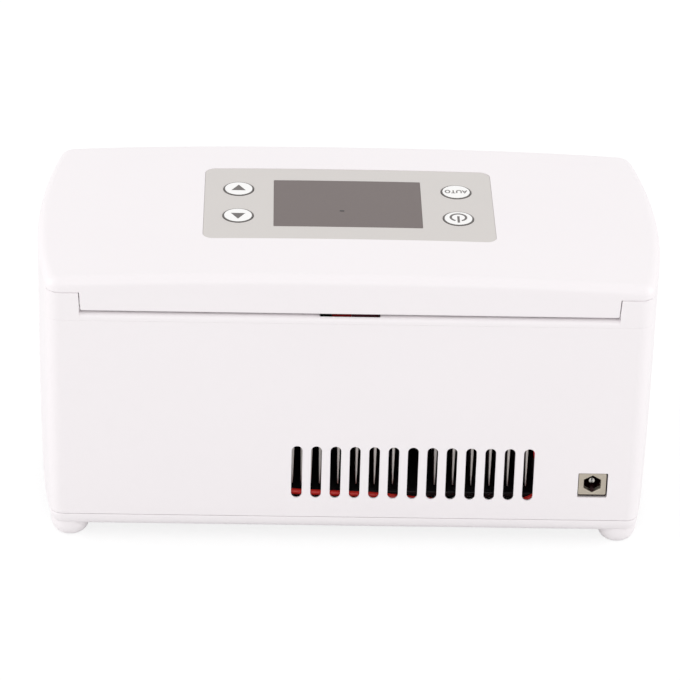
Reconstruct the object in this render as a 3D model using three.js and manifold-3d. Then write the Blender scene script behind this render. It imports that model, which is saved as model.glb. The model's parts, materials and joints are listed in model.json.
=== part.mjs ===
// Insulin cooling case: a bench-top box with a hinged lid over a chilled tray.
// Millimetres, +Z up, +X to the right seen from the rear, -Y towards the hinge side.
// The origin is under the middle of the case, on the surface that its feet stand on.
import * as THREE from 'three';
import { mergeVertices } from 'three/addons/utils/BufferGeometryUtils.js';
import Module from 'manifold-3d';

const wasm = await Module();
wasm.setup();

// Driving sizes of the case
const caseLength = 210;
const caseDepth = 101;
const bodyHeight = 97;
const footHeight = 5;
const wall = 2.4;
const endBulge = 5.6;
const cornerRadius = 5.2;
const innerCorner = 1;
const crownDrop = 2.8;
const crownPower = 2.5;
const lidFillet = 3.2;
const baseFillet = 4.4;
const baseDraft = 0.6;

// Heights of the cover, the lid and the frame between the lid and the outer shell
const coverHeight = 5.2;
const lidHeight = 6.6;
const frameHeight = 10.6;
const deckSunk = 3.8;

// Clearances between pieces
const seamGap = 0.4;
const fit = 0.3;
const closeFit = 0.15;
const overrun = 2;

// Smoothness of the round stretches
const cornerSteps = 5;
const endSteps = 5;
const sideSteps = 7;
const filletSteps = 4;
const roundSteps = 20;
const wideRoundSteps = 32;
const buttonSteps = 24;
const smallRoundSteps = 12;
const holeSteps = 8;

const halfLength = caseLength / 2;
const halfDepth = caseDepth / 2;
const rearY = -halfDepth;
const frontY = halfDepth;
const bodyBottom = footHeight;
const coverSeam = bodyBottom + coverHeight;
const lidTop = bodyBottom + bodyHeight;
const lidSeam = lidTop - lidHeight;
const frameTop = lidSeam - seamGap;
const deckTop = lidSeam - deckSunk;
const parting = lidSeam - frameHeight;

// Materials
function finish(colour, roughness, metalness = 0) {
  return new THREE.MeshStandardMaterial({ color: colour, roughness, metalness });
}

const whitePlastic = finish(0xf6f1f3, 0.35);
const greyPlastic = finish(0xdbd6d2, 0.45);
const darkWindow = finish(0x827a79, 0.2);
const blackPlastic = finish(0x18171a, 0.5);
const aluminium = finish(0xb9b6b3, 0.35, 0.9);
const steel = finish(0xb8b6b0, 0.3, 1);
const foam = finish(0xe9e6df, 0.9);
const silicone = finish(0xc9c9cb, 0.6);
const ceramic = finish(0xf0efe9, 0.5);
const boardGreen = finish(0x1f5a37, 0.5);
const cellBlue = finish(0x3f6fb0, 0.4);
const redSleeve = finish(0xc4231d, 0.45);
const blackSleeve = finish(0x1c1a1b, 0.5);

// Closed solids from three.js geometry
function turnedOutwards(positions, indices) {
  let volume = 0;
  const corner = (index) => new THREE.Vector3().fromArray(positions, index * 3);
  for (let i = 0; i < indices.length; i += 3) {
    const [a, b, c] = [corner(indices[i]), corner(indices[i + 1]), corner(indices[i + 2])];
    volume += a.dot(b.cross(c));
  }
  if (volume > 0) return indices;
  const turned = [];
  for (let i = 0; i < indices.length; i += 3) {
    turned.push(indices[i], indices[i + 2], indices[i + 1]);
  }
  return turned;
}

function solidOf(geometry) {
  const bare = geometry.clone();
  bare.deleteAttribute('normal');
  bare.deleteAttribute('uv');
  const merged = mergeVertices(bare);
  const positions = merged.attributes.position.array;
  const indices = [];
  for (let i = 0; i < merged.index.count; i += 3) {
    const [a, b, c] = [0, 1, 2].map((k) => merged.index.getX(i + k));
    if (a !== b && b !== c && c !== a) indices.push(a, b, c);
  }
  const triVerts = new Uint32Array(turnedOutwards(positions, indices));
  return new wasm.Manifold(new wasm.Mesh({ numProp: 3, vertProperties: positions, triVerts }));
}

function joined(first, ...others) {
  return others.reduce((whole, solid) => whole.add(solid), first);
}

function cut(whole, ...tools) {
  return tools.reduce((left, tool) => left.subtract(tool), whole);
}

function prism(shape, low, high) {
  const settings = { depth: high - low, bevelEnabled: false, curveSegments: roundSteps / 4 };
  return new THREE.ExtrudeGeometry(shape, settings);
}

function alongZ(shape, low, high) {
  return solidOf(prism(shape, low, high).translate(0, 0, low));
}

// A profile drawn in Y and Z, run along X
function alongX(shape, low, high) {
  const turn = new THREE.Matrix4().makeBasis(
    new THREE.Vector3(0, 1, 0),
    new THREE.Vector3(0, 0, 1),
    new THREE.Vector3(1, 0, 0),
  );
  return solidOf(prism(shape, low, high).applyMatrix4(turn).translate(low, 0, 0));
}

// A profile drawn in X and Z, run along Y
function alongY(shape, low, high) {
  return solidOf(prism(shape, low, high).rotateX(Math.PI / 2).translate(0, high, 0));
}

function box(xs, ys, zs) {
  const size = [xs, ys, zs].map(([low, high]) => high - low);
  const middle = [xs, ys, zs].map(([low, high]) => (low + high) / 2);
  return solidOf(new THREE.BoxGeometry(...size).translate(...middle));
}

function rodZ(x, y, radius, low, high, steps = roundSteps) {
  const rod = new THREE.CylinderGeometry(radius, radius, high - low, steps);
  return solidOf(rod.rotateX(Math.PI / 2).translate(x, y, (low + high) / 2));
}

function rodY(x, z, radius, low, high, steps = roundSteps) {
  const rod = new THREE.CylinderGeometry(radius, radius, high - low, steps);
  return solidOf(rod.translate(x, (low + high) / 2, z));
}

function rodX(y, z, radius, low, high, steps = roundSteps) {
  const rod = new THREE.CylinderGeometry(radius, radius, high - low, steps);
  return solidOf(rod.rotateZ(Math.PI / 2).translate((low + high) / 2, y, z));
}

function turnedAboutZ(profile, x, y, low, steps = roundSteps) {
  const points = profile.map(([radius, height]) => new THREE.Vector2(radius, height));
  return solidOf(new THREE.LatheGeometry(points, steps).rotateX(Math.PI / 2).translate(x, y, low));
}

function polygon(points) {
  return new THREE.Shape(points.map(([u, v]) => new THREE.Vector2(u, v)));
}

function roundedRect([x0, x1], [y0, y1], radius) {
  const shape = new THREE.Shape();
  shape.absarc(x1 - radius, y0 + radius, radius, -Math.PI / 2, 0);
  shape.absarc(x1 - radius, y1 - radius, radius, 0, Math.PI / 2);
  shape.absarc(x0 + radius, y1 - radius, radius, Math.PI / 2, Math.PI);
  shape.absarc(x0 + radius, y0 + radius, radius, Math.PI, Math.PI * 1.5);
  return shape;
}

// A quarter of a square with its inner corner rounded away, which rounds an edge when it is cut out
function edgeCutter(edgeU, edgeV, towardsU, towardsV, radius) {
  const centreU = edgeU - towardsU * radius;
  const centreV = edgeV - towardsV * radius;
  const points = [];
  for (let i = 0; i <= filletSteps; i += 1) {
    const angle = (i / filletSteps) * (Math.PI / 2);
    points.push([
      centreU + towardsU * radius * Math.cos(angle),
      centreV + towardsV * radius * Math.sin(angle),
    ]);
  }
  points.push([centreU, edgeV + towardsV * overrun]);
  points.push([edgeU + towardsU * overrun, edgeV + towardsV * overrun]);
  points.push([edgeU + towardsU * overrun, centreV]);
  return polygon(points);
}

function tube(route, radius, steps, sides = 8) {
  const curve = new THREE.CatmullRomCurve3(route.map((point) => new THREE.Vector3(...point)));
  const section = new THREE.Shape();
  for (let i = 0; i < sides; i += 1) {
    const angle = (i / sides) * Math.PI * 2;
    const [u, v] = [radius * Math.cos(angle), radius * Math.sin(angle)];
    if (i === 0) section.moveTo(u, v);
    else section.lineTo(u, v);
  }
  return solidOf(new THREE.ExtrudeGeometry(section, { extrudePath: curve, steps }));
}

// The outline of the case seen from above, drawn in by an inset: straight long sides, bulging
// ends, rounded corners. Its points go anticlockwise from the middle of the right end, and each
// point has a twin mirrored in Y.
function caseOutline(inset, straightSteps) {
  const fullRadius = (halfDepth ** 2 + endBulge ** 2) / (2 * endBulge);
  const arcCentre = halfLength - fullRadius;
  const arcRadius = fullRadius - inset;
  const corner = Math.max(cornerRadius - inset, innerCorner);
  const cornerY = halfDepth - inset - corner;
  const cornerX = arcCentre + Math.sqrt((arcRadius - corner) ** 2 - cornerY ** 2);
  const tilt = Math.atan2(cornerY, cornerX - arcCentre);
  const quarter = [];
  for (let i = 0; i < endSteps; i += 1) {
    const angle = (tilt * i) / endSteps;
    quarter.push([arcCentre + arcRadius * Math.cos(angle), arcRadius * Math.sin(angle)]);
  }
  for (let i = 0; i <= cornerSteps; i += 1) {
    const angle = tilt + ((Math.PI / 2 - tilt) * i) / cornerSteps;
    quarter.push([cornerX + corner * Math.cos(angle), cornerY + corner * Math.sin(angle)]);
  }
  for (let i = 1; i <= straightSteps; i += 1) {
    quarter.push([cornerX * (1 - i / straightSteps), halfDepth - inset]);
  }
  const left = quarter.slice(0, -1).reverse().map(([x, y]) => [-x, y]);
  const half = [...quarter, ...left];
  const near = half.slice(1, -1).reverse().map(([x, y]) => [x, -y]);
  return [...half, ...near];
}

// How far the top has fallen at a distance from the middle
function crownFall(x) {
  return crownDrop * Math.abs(x / halfLength) ** crownPower;
}

// A closed skin over rings of points, with both ends closed by strips across the case
function loft(rings) {
  const count = rings[0].length;
  const indices = [];
  for (let r = 0; r + 1 < rings.length; r += 1) {
    for (let i = 0; i < count; i += 1) {
      const next = (i + 1) % count;
      const [a, b] = [r * count + i, r * count + next];
      indices.push(a, b, b + count, a, b + count, a + count);
    }
  }
  const top = (rings.length - 1) * count;
  for (let i = 0; i < count / 2; i += 1) {
    const [far, farNext] = [i, i + 1];
    const [near, nearNext] = [(count - i) % count, count - i - 1];
    indices.push(top + far, top + farNext, top + nearNext);
    indices.push(far, nearNext, farNext);
    if (near !== far) {
      indices.push(top + far, top + nearNext, top + near);
      indices.push(far, near, nearNext);
    }
  }
  const geometry = new THREE.BufferGeometry();
  geometry.setAttribute('position', new THREE.Float32BufferAttribute(rings.flat(2), 3));
  geometry.setIndex(indices);
  return solidOf(geometry);
}

function ring(inset, height) {
  return caseOutline(inset, 1).map(([x, y]) => [x, y, height]);
}

function crownedRing(inset, heightAt) {
  return caseOutline(inset, sideSteps).map(([x, y]) => [x, y, heightAt(x)]);
}

function casePrism(inset, low, high) {
  return loft([ring(inset, low), ring(inset, high)]);
}

// The space between two sheets that follow the crown, wide enough for any piece of the lid top
function crownSlab(below, above) {
  const points = [];
  const reach = halfLength;
  const steps = 4 * sideSteps;
  for (let i = 0; i <= steps; i += 1) {
    const x = reach * (1 - (2 * i) / steps);
    points.push([x, lidTop - crownFall(x) + above]);
  }
  for (let i = steps; i >= 0; i -= 1) {
    const x = reach * (1 - (2 * i) / steps);
    points.push([x, lidTop - crownFall(x) - below]);
  }
  return alongY(polygon(points), rearY, frontY);
}

const object = new THREE.Group();
const base = new THREE.Group();
const lid = new THREE.Group();
object.add(base, lid);

function addPiece(group, name, solid, material) {
  const { numProp, vertProperties, triVerts } = solid.getMesh();
  const positions = new Float32Array((vertProperties.length / numProp) * 3);
  for (let i = 0; i < positions.length / 3; i += 1) {
    positions.set(vertProperties.subarray(i * numProp, i * numProp + 3), i * 3);
  }
  const geometry = new THREE.BufferGeometry();
  geometry.setAttribute('position', new THREE.BufferAttribute(positions, 3));
  geometry.setIndex(new THREE.BufferAttribute(triVerts, 1));
  geometry.computeVertexNormals();
  const mesh = new THREE.Mesh(geometry, material);
  mesh.name = name;
  group.add(mesh);
}

const sides = [['left', -1], ['right', 1]];
const corners = [['rear_left', -1, -1], ['rear_right', 1, -1], ['front_right', 1, 1], ['front_left', -1, 1]];

// Feet, case screws and the posts that the screws pull on
const foot = { radius: 6.6, fromEnd: 11.8, fromFace: 8.5, sunk: 1.3, round: 3.2 };
const footX = halfLength - foot.fromEnd;
const footY = halfDepth - foot.fromFace;
const screw = { headRadius: 2.8, headHeight: 2, shankRadius: 1.4, shankLength: 14 };
const boss = { radius: 4.4, postRadius: 4, height: 3 };
const screwHeadBottom = bodyBottom + foot.sunk + fit;
const screwHeadTop = screwHeadBottom + screw.headHeight;
const coverBossTop = screwHeadTop + boss.height;

function addFeetAndScrews() {
  const top = footHeight + foot.sunk;
  const flat = foot.radius - foot.round;
  const profile = [[0, 0]];
  for (let i = 0; i <= filletSteps; i += 1) {
    const angle = (i / filletSteps) * (Math.PI / 2);
    profile.push([flat + foot.round * Math.sin(angle), foot.round * (1 - Math.cos(angle))]);
  }
  profile.push([foot.radius, top], [0, top]);
  for (const [name, sideX, sideY] of corners) {
    const [x, y] = [sideX * footX, sideY * footY];
    addPiece(base, `foot_${name}`, turnedAboutZ(profile, x, y, 0), whitePlastic);
    const head = rodZ(x, y, screw.headRadius, screwHeadBottom, screwHeadTop, smallRoundSteps);
    const shankTop = screwHeadBottom + screw.shankLength;
    const shank = rodZ(x, y, screw.shankRadius, screwHeadBottom, shankTop, holeSteps);
    addPiece(base, `case_screw_${name}`, joined(head, shank), steel);
  }
}

// Outer shell: a sleeve with the vent slots and the inlet opening in its rear wall
const inlet = { width: 10, height: 9.5, fromEnd: 16.6, low: 14.5 };
const inletBottom = bodyBottom + inlet.low;
const inletTop = inletBottom + inlet.height;
const inletRight = halfLength - inlet.fromEnd;
const inletLeft = inletRight - inlet.width;
const vent = { count: 13, width: 3.6, height: 19.9, spacing: 6.5, low: 13.2, toInlet: 55.9 };
const ventBottom = bodyBottom + vent.low;
const ventTop = ventBottom + vent.height;
const ventCentreX = inletLeft - vent.toInlet;
const firstVentX = ventCentreX - (vent.spacing * (vent.count - 1)) / 2;

function ventSlot(x) {
  const radius = vent.width / 2;
  const shape = new THREE.Shape();
  shape.absarc(x, ventTop - radius, radius, 0, Math.PI);
  shape.absarc(x, ventBottom + radius, radius, Math.PI, Math.PI * 2);
  return alongY(shape, rearY - overrun, rearY + wall + overrun);
}

function addOuterShell() {
  const low = coverSeam + closeFit;
  const middle = (coverSeam + parting) / 2;
  const outer = loft([
    ring(baseDraft, low),
    ring(0, middle),
    ring(0, parting - closeFit),
  ]);
  const inner = casePrism(wall + baseDraft, low - overrun, parting + overrun);
  const slots = [];
  for (let i = 0; i < vent.count; i += 1) slots.push(ventSlot(firstVentX + vent.spacing * i));
  const openingYs = [rearY - overrun, rearY + wall + baseDraft + overrun];
  const opening = box([inletLeft, inletRight], openingYs, [inletBottom, inletTop]);
  addPiece(base, 'outer_shell', cut(outer, inner, opening, ...slots), whitePlastic);
}

// Bottom cover: a shallow pan with a lip inside the shell, foot pockets, screw bosses and intake
// slots under the fans
const lip = { height: 2, thickness: 1.4 };
const intake = { count: 9, width: 2.6, spacing: 8.8, fromFans: 3.25, fromFront: 9 };
const coverFloor = bodyBottom + wall;
const standoff = { radius: 2.4, inset: 4 };

function addBottomCover() {
  const rings = [];
  for (let i = 0; i <= filletSteps; i += 1) {
    const angle = (i / filletSteps) * (Math.PI / 2);
    const inset = baseDraft + baseFillet * (1 - Math.sin(angle));
    rings.push(ring(inset, bodyBottom + baseFillet * (1 - Math.cos(angle))));
  }
  rings.push(ring(baseDraft, coverSeam));
  const lipInset = wall + baseDraft + fit;
  const pan = joined(loft(rings), casePrism(lipInset, coverFloor, coverSeam + lip.height));
  const hollow = casePrism(lipInset + lip.thickness, coverFloor, coverSeam + lip.height + overrun);
  let cover = cut(pan, hollow);
  for (const [, sideX, sideY] of corners) {
    const [x, y] = [sideX * footX, sideY * footY];
    cover = joined(cover, rodZ(x, y, boss.radius, coverFloor - fit, coverBossTop));
    cover = cut(
      cover,
      rodZ(x, y, foot.radius + fit, bodyBottom - overrun, bodyBottom + foot.sunk + closeFit),
      rodZ(x, y, screw.headRadius + fit, bodyBottom, screwHeadTop + closeFit, smallRoundSteps),
      rodZ(x, y, screw.shankRadius + fit, bodyBottom, coverBossTop + overrun, holeSteps),
      rodZ(x, y, boss.postRadius + fit, coverBossTop, coverBossTop + overrun, smallRoundSteps),
    );
  }
  for (const x of [boardXs[0] + standoff.inset, boardXs[1] - standoff.inset * 2]) {
    for (const y of [boardYs[0] + standoff.inset * 2, boardYs[1] - standoff.inset]) {
      const top = boardBottom - closeFit;
      cover = joined(cover, rodZ(x, y, standoff.radius, coverFloor - fit, top, smallRoundSteps));
    }
  }
  for (let i = 0; i < intake.count; i += 1) {
    const x = ventCentreX + intake.spacing * (i - (intake.count - 1) / 2);
    const ys = [fanFront + intake.fromFans, frontY - intake.fromFront];
    const zs = [bodyBottom - overrun, coverFloor + overrun];
    cover = cut(cover, box(around(x, intake.width), ys, zs));
  }
  addPiece(base, 'bottom_cover', cover, whitePlastic);
}

// Hinge: pins in the frame's ears, knuckles on the lid's rear skirt
const rimHeight = 2;
const hingeGap = 2;
const rimTop = parting + rimHeight;
const skirtBottom = rimTop + hingeGap;
const skirt = { endMargin: 16, taper: 0.6, knuckleLength: 8.6, knuckleDepth: 4.1 };
const skirtReach = halfLength - skirt.endMargin;
const pin = { radius: 0.9, inset: 2, rise: 1.5, earReach: 5.6 };
const pinY = rearY + pin.inset;
const pinZ = skirtBottom + pin.rise;
const knuckleFrontY = rearY + skirt.knuckleDepth;
const knuckleInnerX = skirtReach - skirt.taper - skirt.knuckleLength;
const pinOuterX = skirtReach + pin.earReach;

function addHingePins() {
  for (const [name, side] of sides) {
    const [near, far] = [knuckleInnerX + fit, pinOuterX].map((x) => x * side);
    const solid = rodX(pinY, pinZ, pin.radius, Math.min(near, far), Math.max(near, far), smallRoundSteps);
    addPiece(base, `hinge_pin_${name}`, solid, steel);
  }
}

// Fans stand on the bottom cover, with the tray and its insulation over them
const sink = {
  size: 40, sideGap: 5.1, base: 5, finCount: 13, finInset: 1.46, finRootThickness: 1.3, finTipThickness: 0.5,
};
const fan = {
  depth: 10, rim: 1.1, tipGap: 0.9, hubRadius: 9.5, bladeCount: 7, bladePitch: 38, overhead: 2.1,
};
const insulation = { endMargin: 9, rearMargin: 12, frontMargin: 8, thickness: 11.6 };
const fanBottom = coverFloor + fit;
const fanTop = fanBottom + sink.size;
const insulationBottom = fanTop + fan.overhead;

// Cold tray, sunk in the deck of the frame
const tray = { endMargin: 19, rearMargin: 21.5, frontMargin: 17.5, wall: 1.2, flange: 4, corner: 5 };
const trayXs = [-halfLength + tray.endMargin, halfLength - tray.endMargin];
const trayYs = [rearY + tray.rearMargin, frontY - tray.frontMargin];
const trayCentreY = (trayYs[0] + trayYs[1]) / 2;
const trayUnderside = insulationBottom + insulation.thickness;
const trayFloor = trayUnderside + tray.wall;

function grown([low, high], by) {
  return [low - by, high + by];
}

function trayShape(by) {
  return roundedRect(grown(trayXs, by), grown(trayYs, by), tray.corner + by);
}

function addColdTray() {
  const body = alongZ(trayShape(tray.wall), trayUnderside, deckTop);
  const flange = alongZ(trayShape(tray.flange), deckTop - tray.wall, deckTop);
  const hollow = alongZ(trayShape(0), trayFloor, deckTop + overrun);
  addPiece(base, 'cold_tray', cut(joined(body, flange), hollow), aluminium);
}

// Top frame: the rim seen round the case, its deck, the hinge ears and the screw posts
const deckThickness = 2.4;
const deckBottom = deckTop - deckThickness;
const notch = { depth: 5.1, wall: 2.2, rimRound: 1.8, earRound: 1, earLength: 7.8 };
const notchFrontY = rearY + notch.depth;
const blockFrontY = notchFrontY + notch.wall;
const cable = { halfWidth: 10, slotFrom: 0.9, slotTo: 7.1, centre: 5.8 };
const cableY = rearY + cable.centre;
const scoop = { radius: 30, depth: 2, pad: 2, halfWidth: 14 };
const magnet = { radius: 3, thickness: 1.8, fromFront: 9.1 };
const magnetY = frontY - magnet.fromFront;

function skirtOutline(by) {
  const [low, high] = [skirtBottom, lidSeam];
  const slope = skirt.taper / (high - low);
  const [under, over] = [rimTop, lidSeam + overrun];
  const widthAt = (z) => skirtReach - (high - z) * slope + by;
  return { widthAt, shape: polygon([
    [-widthAt(under), under],
    [widthAt(under), under],
    [widthAt(over), over],
    [-widthAt(over), over],
  ]) };
}

function addTopFrame() {
  const lipInset = wall + baseDraft + fit;
  const blockX = skirtReach + notch.earLength;
  const rearBlock = box([-blockX, blockX], [rearY - overrun, blockFrontY], [parting, lidTop]);
  let frame = joined(
    casePrism(0, parting, frameTop),
    casePrism(lipInset, parting - lip.height, parting + fit),
  );
  const below = casePrism(lipInset + lip.thickness, parting - lip.height - overrun, deckBottom);
  const above = casePrism(wall, deckTop, frameTop + overrun);
  frame = cut(frame, cut(below, rearBlock), above);
  const pad = box(
    [-scoop.halfWidth, scoop.halfWidth],
    [frontY - wall - scoop.pad, frontY - wall + fit],
    [deckBottom, frameTop],
  );
  frame = joined(frame, pad);
  for (const [, sideX, sideY] of corners) {
    const [x, y] = [sideX * footX, sideY * footY];
    frame = joined(frame, rodZ(x, y, boss.postRadius, coverBossTop + fit, deckTop - fit, smallRoundSteps));
    const pilotTop = screwHeadBottom + screw.shankLength + overrun;
    frame = cut(frame, rodZ(x, y, screw.shankRadius + closeFit, coverBossTop - overrun, pilotTop, holeSteps));
  }
  const rimCut = alongX(edgeCutter(rearY, rimTop, -1, 1, notch.rimRound), -skirtReach, skirtReach);
  const earCut = alongX(edgeCutter(rearY, frameTop, -1, 1, notch.earRound), -halfLength, halfLength);
  const notchCut = alongY(skirtOutline(fit).shape, rearY - overrun, notchFrontY);
  const opening = alongZ(trayShape(tray.wall + fit), parting - overrun, deckTop + overrun);
  const rebate = alongZ(trayShape(tray.flange + fit), deckTop - tray.wall - closeFit, deckTop + overrun);
  const cableSlot = box(
    [-cable.halfWidth - fit, cable.halfWidth + fit],
    [rearY + cable.slotFrom, rearY + cable.slotTo],
    [parting - lip.height - overrun, deckTop + overrun],
  );
  const pocketFloor = deckTop - magnet.thickness - closeFit;
  const magnetPocket = rodZ(0, magnetY, magnet.radius + closeFit, pocketFloor, deckTop + overrun);
  const ball = new THREE.SphereGeometry(scoop.radius, wideRoundSteps, buttonSteps);
  ball.translate(0, frontY + scoop.radius - scoop.depth, frameTop);
  frame = cut(frame, notchCut, rimCut, earCut, opening, rebate, cableSlot, magnetPocket, solidOf(ball));
  for (const [, side] of sides) {
    const ends = [side * (skirtReach - overrun), side * (pinOuterX + fit)];
    const [low, high] = [Math.min(...ends), Math.max(...ends)];
    frame = cut(frame, rodX(pinY, pinZ, pin.radius + closeFit, low, high, smallRoundSteps));
  }
  addPiece(base, 'top_frame', frame, whitePlastic);
  const magnetFloor = deckTop - magnet.thickness;
  addPiece(base, 'frame_magnet', rodZ(0, magnetY, magnet.radius, magnetFloor, deckTop - closeFit), steel);
}

// Cooling stack under the tray: cold block, thermoelectric module and heat sink, twice
const stack = { offset: 0.7, rearMargin: 6.5, block: 30, moduleHeight: 3.6, blockHeight: 12.7 };
const duct = { wall: 1.8, lift: 8.45, floorGap: 2.2, sideMargin: 1.4, holeInset: 1.5 };
const stackCentreX = ventCentreX + stack.offset;
const stackSpread = (sink.size + sink.sideGap) / 2;
const sinkRearY = rearY + stack.rearMargin;
const sinkFrontY = sinkRearY + sink.size;
const stackY = (sinkRearY + sinkFrontY) / 2;
const blockTop = trayUnderside - closeFit;
const blockBottom = blockTop - stack.blockHeight;
const moduleTop = blockBottom - closeFit;
const moduleBottom = moduleTop - stack.moduleHeight;
const sinkTop = moduleBottom - closeFit;
const finRoot = sinkTop - sink.base;
const ductFloorBottom = coverFloor + duct.lift;
const ductFloorTop = ductFloorBottom + duct.wall;
const finTip = ductFloorTop + duct.floorGap;

function stackX(side) {
  return stackCentreX + side * stackSpread;
}

function around(centre, size) {
  return [centre - size / 2, centre + size / 2];
}

function addCoolingStack() {
  for (const [name, side] of sides) {
    const x = stackX(side);
    const blockXs = around(x, stack.block);
    const blockYs = around(stackY, stack.block);
    addPiece(base, `cold_block_${name}`, box(blockXs, blockYs, [blockBottom, blockTop]), aluminium);
    addPiece(base, `cooling_module_${name}`, box(blockXs, blockYs, [moduleBottom, moduleTop]), ceramic);
    let solid = box(around(x, sink.size), [sinkRearY, sinkFrontY], [finRoot, sinkTop]);
    const finSpacing = (sink.size - 2 * sink.finInset) / (sink.finCount - 1);
    for (let i = 0; i < sink.finCount; i += 1) {
      const finX = x + finSpacing * (i - (sink.finCount - 1) / 2);
      const fin = alongY(polygon([
        [finX - sink.finTipThickness / 2, finTip],
        [finX + sink.finTipThickness / 2, finTip],
        [finX + sink.finRootThickness / 2, finRoot + fit],
        [finX - sink.finRootThickness / 2, finRoot + fit],
      ]), sinkRearY, sinkFrontY);
      solid = joined(solid, fin);
    }
    addPiece(base, `heat_sink_${name}`, solid, aluminium);
  }
}

// Insulation round the tray, with a window for each cold block
function addInsulation() {
  const outer = box(
    grown([-halfLength, halfLength], -insulation.endMargin),
    [rearY + insulation.rearMargin, frontY - insulation.frontMargin],
    [insulationBottom, deckBottom - fit],
  );
  const low = insulationBottom - overrun;
  const well = alongZ(trayShape(tray.wall + fit), trayUnderside - closeFit, deckTop);
  const tools = [well];
  for (const [, side] of sides) {
    const xs = grown(around(stackX(side), stack.block), fit);
    tools.push(box(xs, grown(around(stackY, stack.block), fit), [low, trayFloor]));
  }
  for (const [, sideX, sideY] of corners) {
    const [x, y] = [sideX * footX, sideY * footY];
    tools.push(rodZ(x, y, boss.postRadius + fit, low, deckTop, smallRoundSteps));
  }
  addPiece(base, 'tray_insulation', cut(outer, ...tools), foam);
}

// Black air duct under the fins, with a fan on each of its two holes
const fanPart = {
  hubDepth: 7.6, bossDepth: 1.4, strutWidth: 2.4, strutCount: 3,
  bladeThickness: 1, bladeChord: 8.5, bladeRoot: 1.5,
};
const fanBoreRadius = sink.size / 2 - fan.rim;
const ductReach = stackSpread + sink.size / 2 + duct.sideMargin;
const ductXs = [stackCentreX - ductReach, stackCentreX + ductReach];
const ductPlateRear = sinkFrontY + fit;
const ductPlateFront = ductPlateRear + duct.wall;
const fanRear = ductPlateFront + closeFit;
const fanFront = fanRear + fan.depth;
const fanZ = (fanBottom + fanTop) / 2;

function addDuct() {
  const floor = box(ductXs, [sinkRearY - fit * 2, ductPlateFront], [ductFloorBottom, ductFloorTop]);
  const plate = box(ductXs, [ductPlateRear, ductPlateFront], [fanBottom, fanTop]);
  const holeRadius = sink.size / 2 - duct.holeInset;
  const holes = sides.map(([, side]) => (
    rodY(stackX(side), fanZ, holeRadius, ductPlateRear - overrun, ductPlateFront + overrun)
  ));
  const shelf = cut(plate, ...holes);
  addPiece(base, 'air_duct', joined(shelf, floor), blackPlastic);
}

function addFans() {
  for (const [name, side] of sides) {
    const x = stackX(side);
    const housing = box(around(x, sink.size), [fanRear, fanFront], [fanBottom, fanTop]);
    const bossRear = fanFront - fanPart.bossDepth;
    const bore = rodY(x, fanZ, fanBoreRadius, fanRear - overrun, fanFront + overrun, wideRoundSteps);
    let frame = cut(housing, bore);
    frame = joined(frame, rodY(x, fanZ, fan.hubRadius, bossRear, fanFront));
    for (let i = 0; i < fanPart.strutCount; i += 1) {
      const reach = sink.size / 2 - fan.rim / 2;
      const strut = new THREE.BoxGeometry(reach, fanPart.bossDepth, fanPart.strutWidth);
      strut.translate(reach / 2, 0, 0).rotateY((Math.PI * 2 * i) / fanPart.strutCount + Math.PI / 2);
      frame = joined(frame, solidOf(strut.translate(x, (bossRear + fanFront) / 2, fanZ)));
    }
    addPiece(base, `fan_frame_${name}`, frame, blackPlastic);

    const hubFront = bossRear - fit;
    const hubRear = hubFront - fanPart.hubDepth;
    let rotor = rodY(x, fanZ, fan.hubRadius, hubRear, hubFront);
    const bladeSpan = [fan.hubRadius - fanPart.bladeRoot, fanBoreRadius - fan.tipGap];
    const bladeLength = bladeSpan[1] - bladeSpan[0];
    for (let i = 0; i < fan.bladeCount; i += 1) {
      const blade = new THREE.BoxGeometry(bladeLength, fanPart.bladeThickness, fanPart.bladeChord);
      blade.rotateX(THREE.MathUtils.degToRad(fan.bladePitch));
      blade.translate((bladeSpan[0] + bladeSpan[1]) / 2, 0, 0);
      blade.rotateY((Math.PI * 2 * i) / fan.bladeCount);
      rotor = joined(rotor, solidOf(blade.translate(x, (hubRear + hubFront) / 2, fanZ)));
    }
    addPiece(base, `fan_rotor_${name}`, rotor, blackPlastic);
  }
}

// Battery: cells lying along X in a cradle that fills the floor from the left-hand end to the duct
const cell = { radius: 9.1, nubRadius: 3, nubLength: 1, sideGap: 1.2, count: 2 };
const cradle = { endMargin: 12, toDuct: 2.8, wall: 1.5, endHeight: 12, floorGap: 0.3, fromRear: 27.1 };
const cradleXs = [-halfLength + cradle.endMargin, ductXs[0] - cradle.toDuct];
const cradleInnerXs = grown(cradleXs, -cradle.wall);

function addBattery() {
  const cellSpacing = cell.radius * 2 + cell.sideGap;
  const ys = [rearY + cradle.fromRear, rearY + cradle.fromRear + cellSpacing * cell.count];
  const low = coverFloor + cradle.floorGap;
  const floorTop = low + cradle.wall;
  const wallTop = low + cradle.endHeight;
  const bin = box(cradleXs, grown(ys, cradle.wall), [low, wallTop]);
  const hollow = box(cradleInnerXs, ys, [floorTop, wallTop + overrun]);
  addPiece(base, 'battery_holder', cut(bin, hollow), blackPlastic);
  const z = floorTop + fit + cell.radius;
  for (let i = 0; i < cell.count; i += 1) {
    const y = ys[0] + cellSpacing * (i + 1 / 2);
    const nubEnd = cradleInnerXs[1] - fit;
    const canEnd = nubEnd - cell.nubLength;
    const can = rodX(y, z, cell.radius, cradleInnerXs[0] + fit, canEnd);
    const nub = rodX(y, z, cell.nubRadius, canEnd - fit, nubEnd, smallRoundSteps);
    addPiece(base, `battery_cell_${i + 1}`, joined(can, nub), cellBlue);
  }
}

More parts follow.
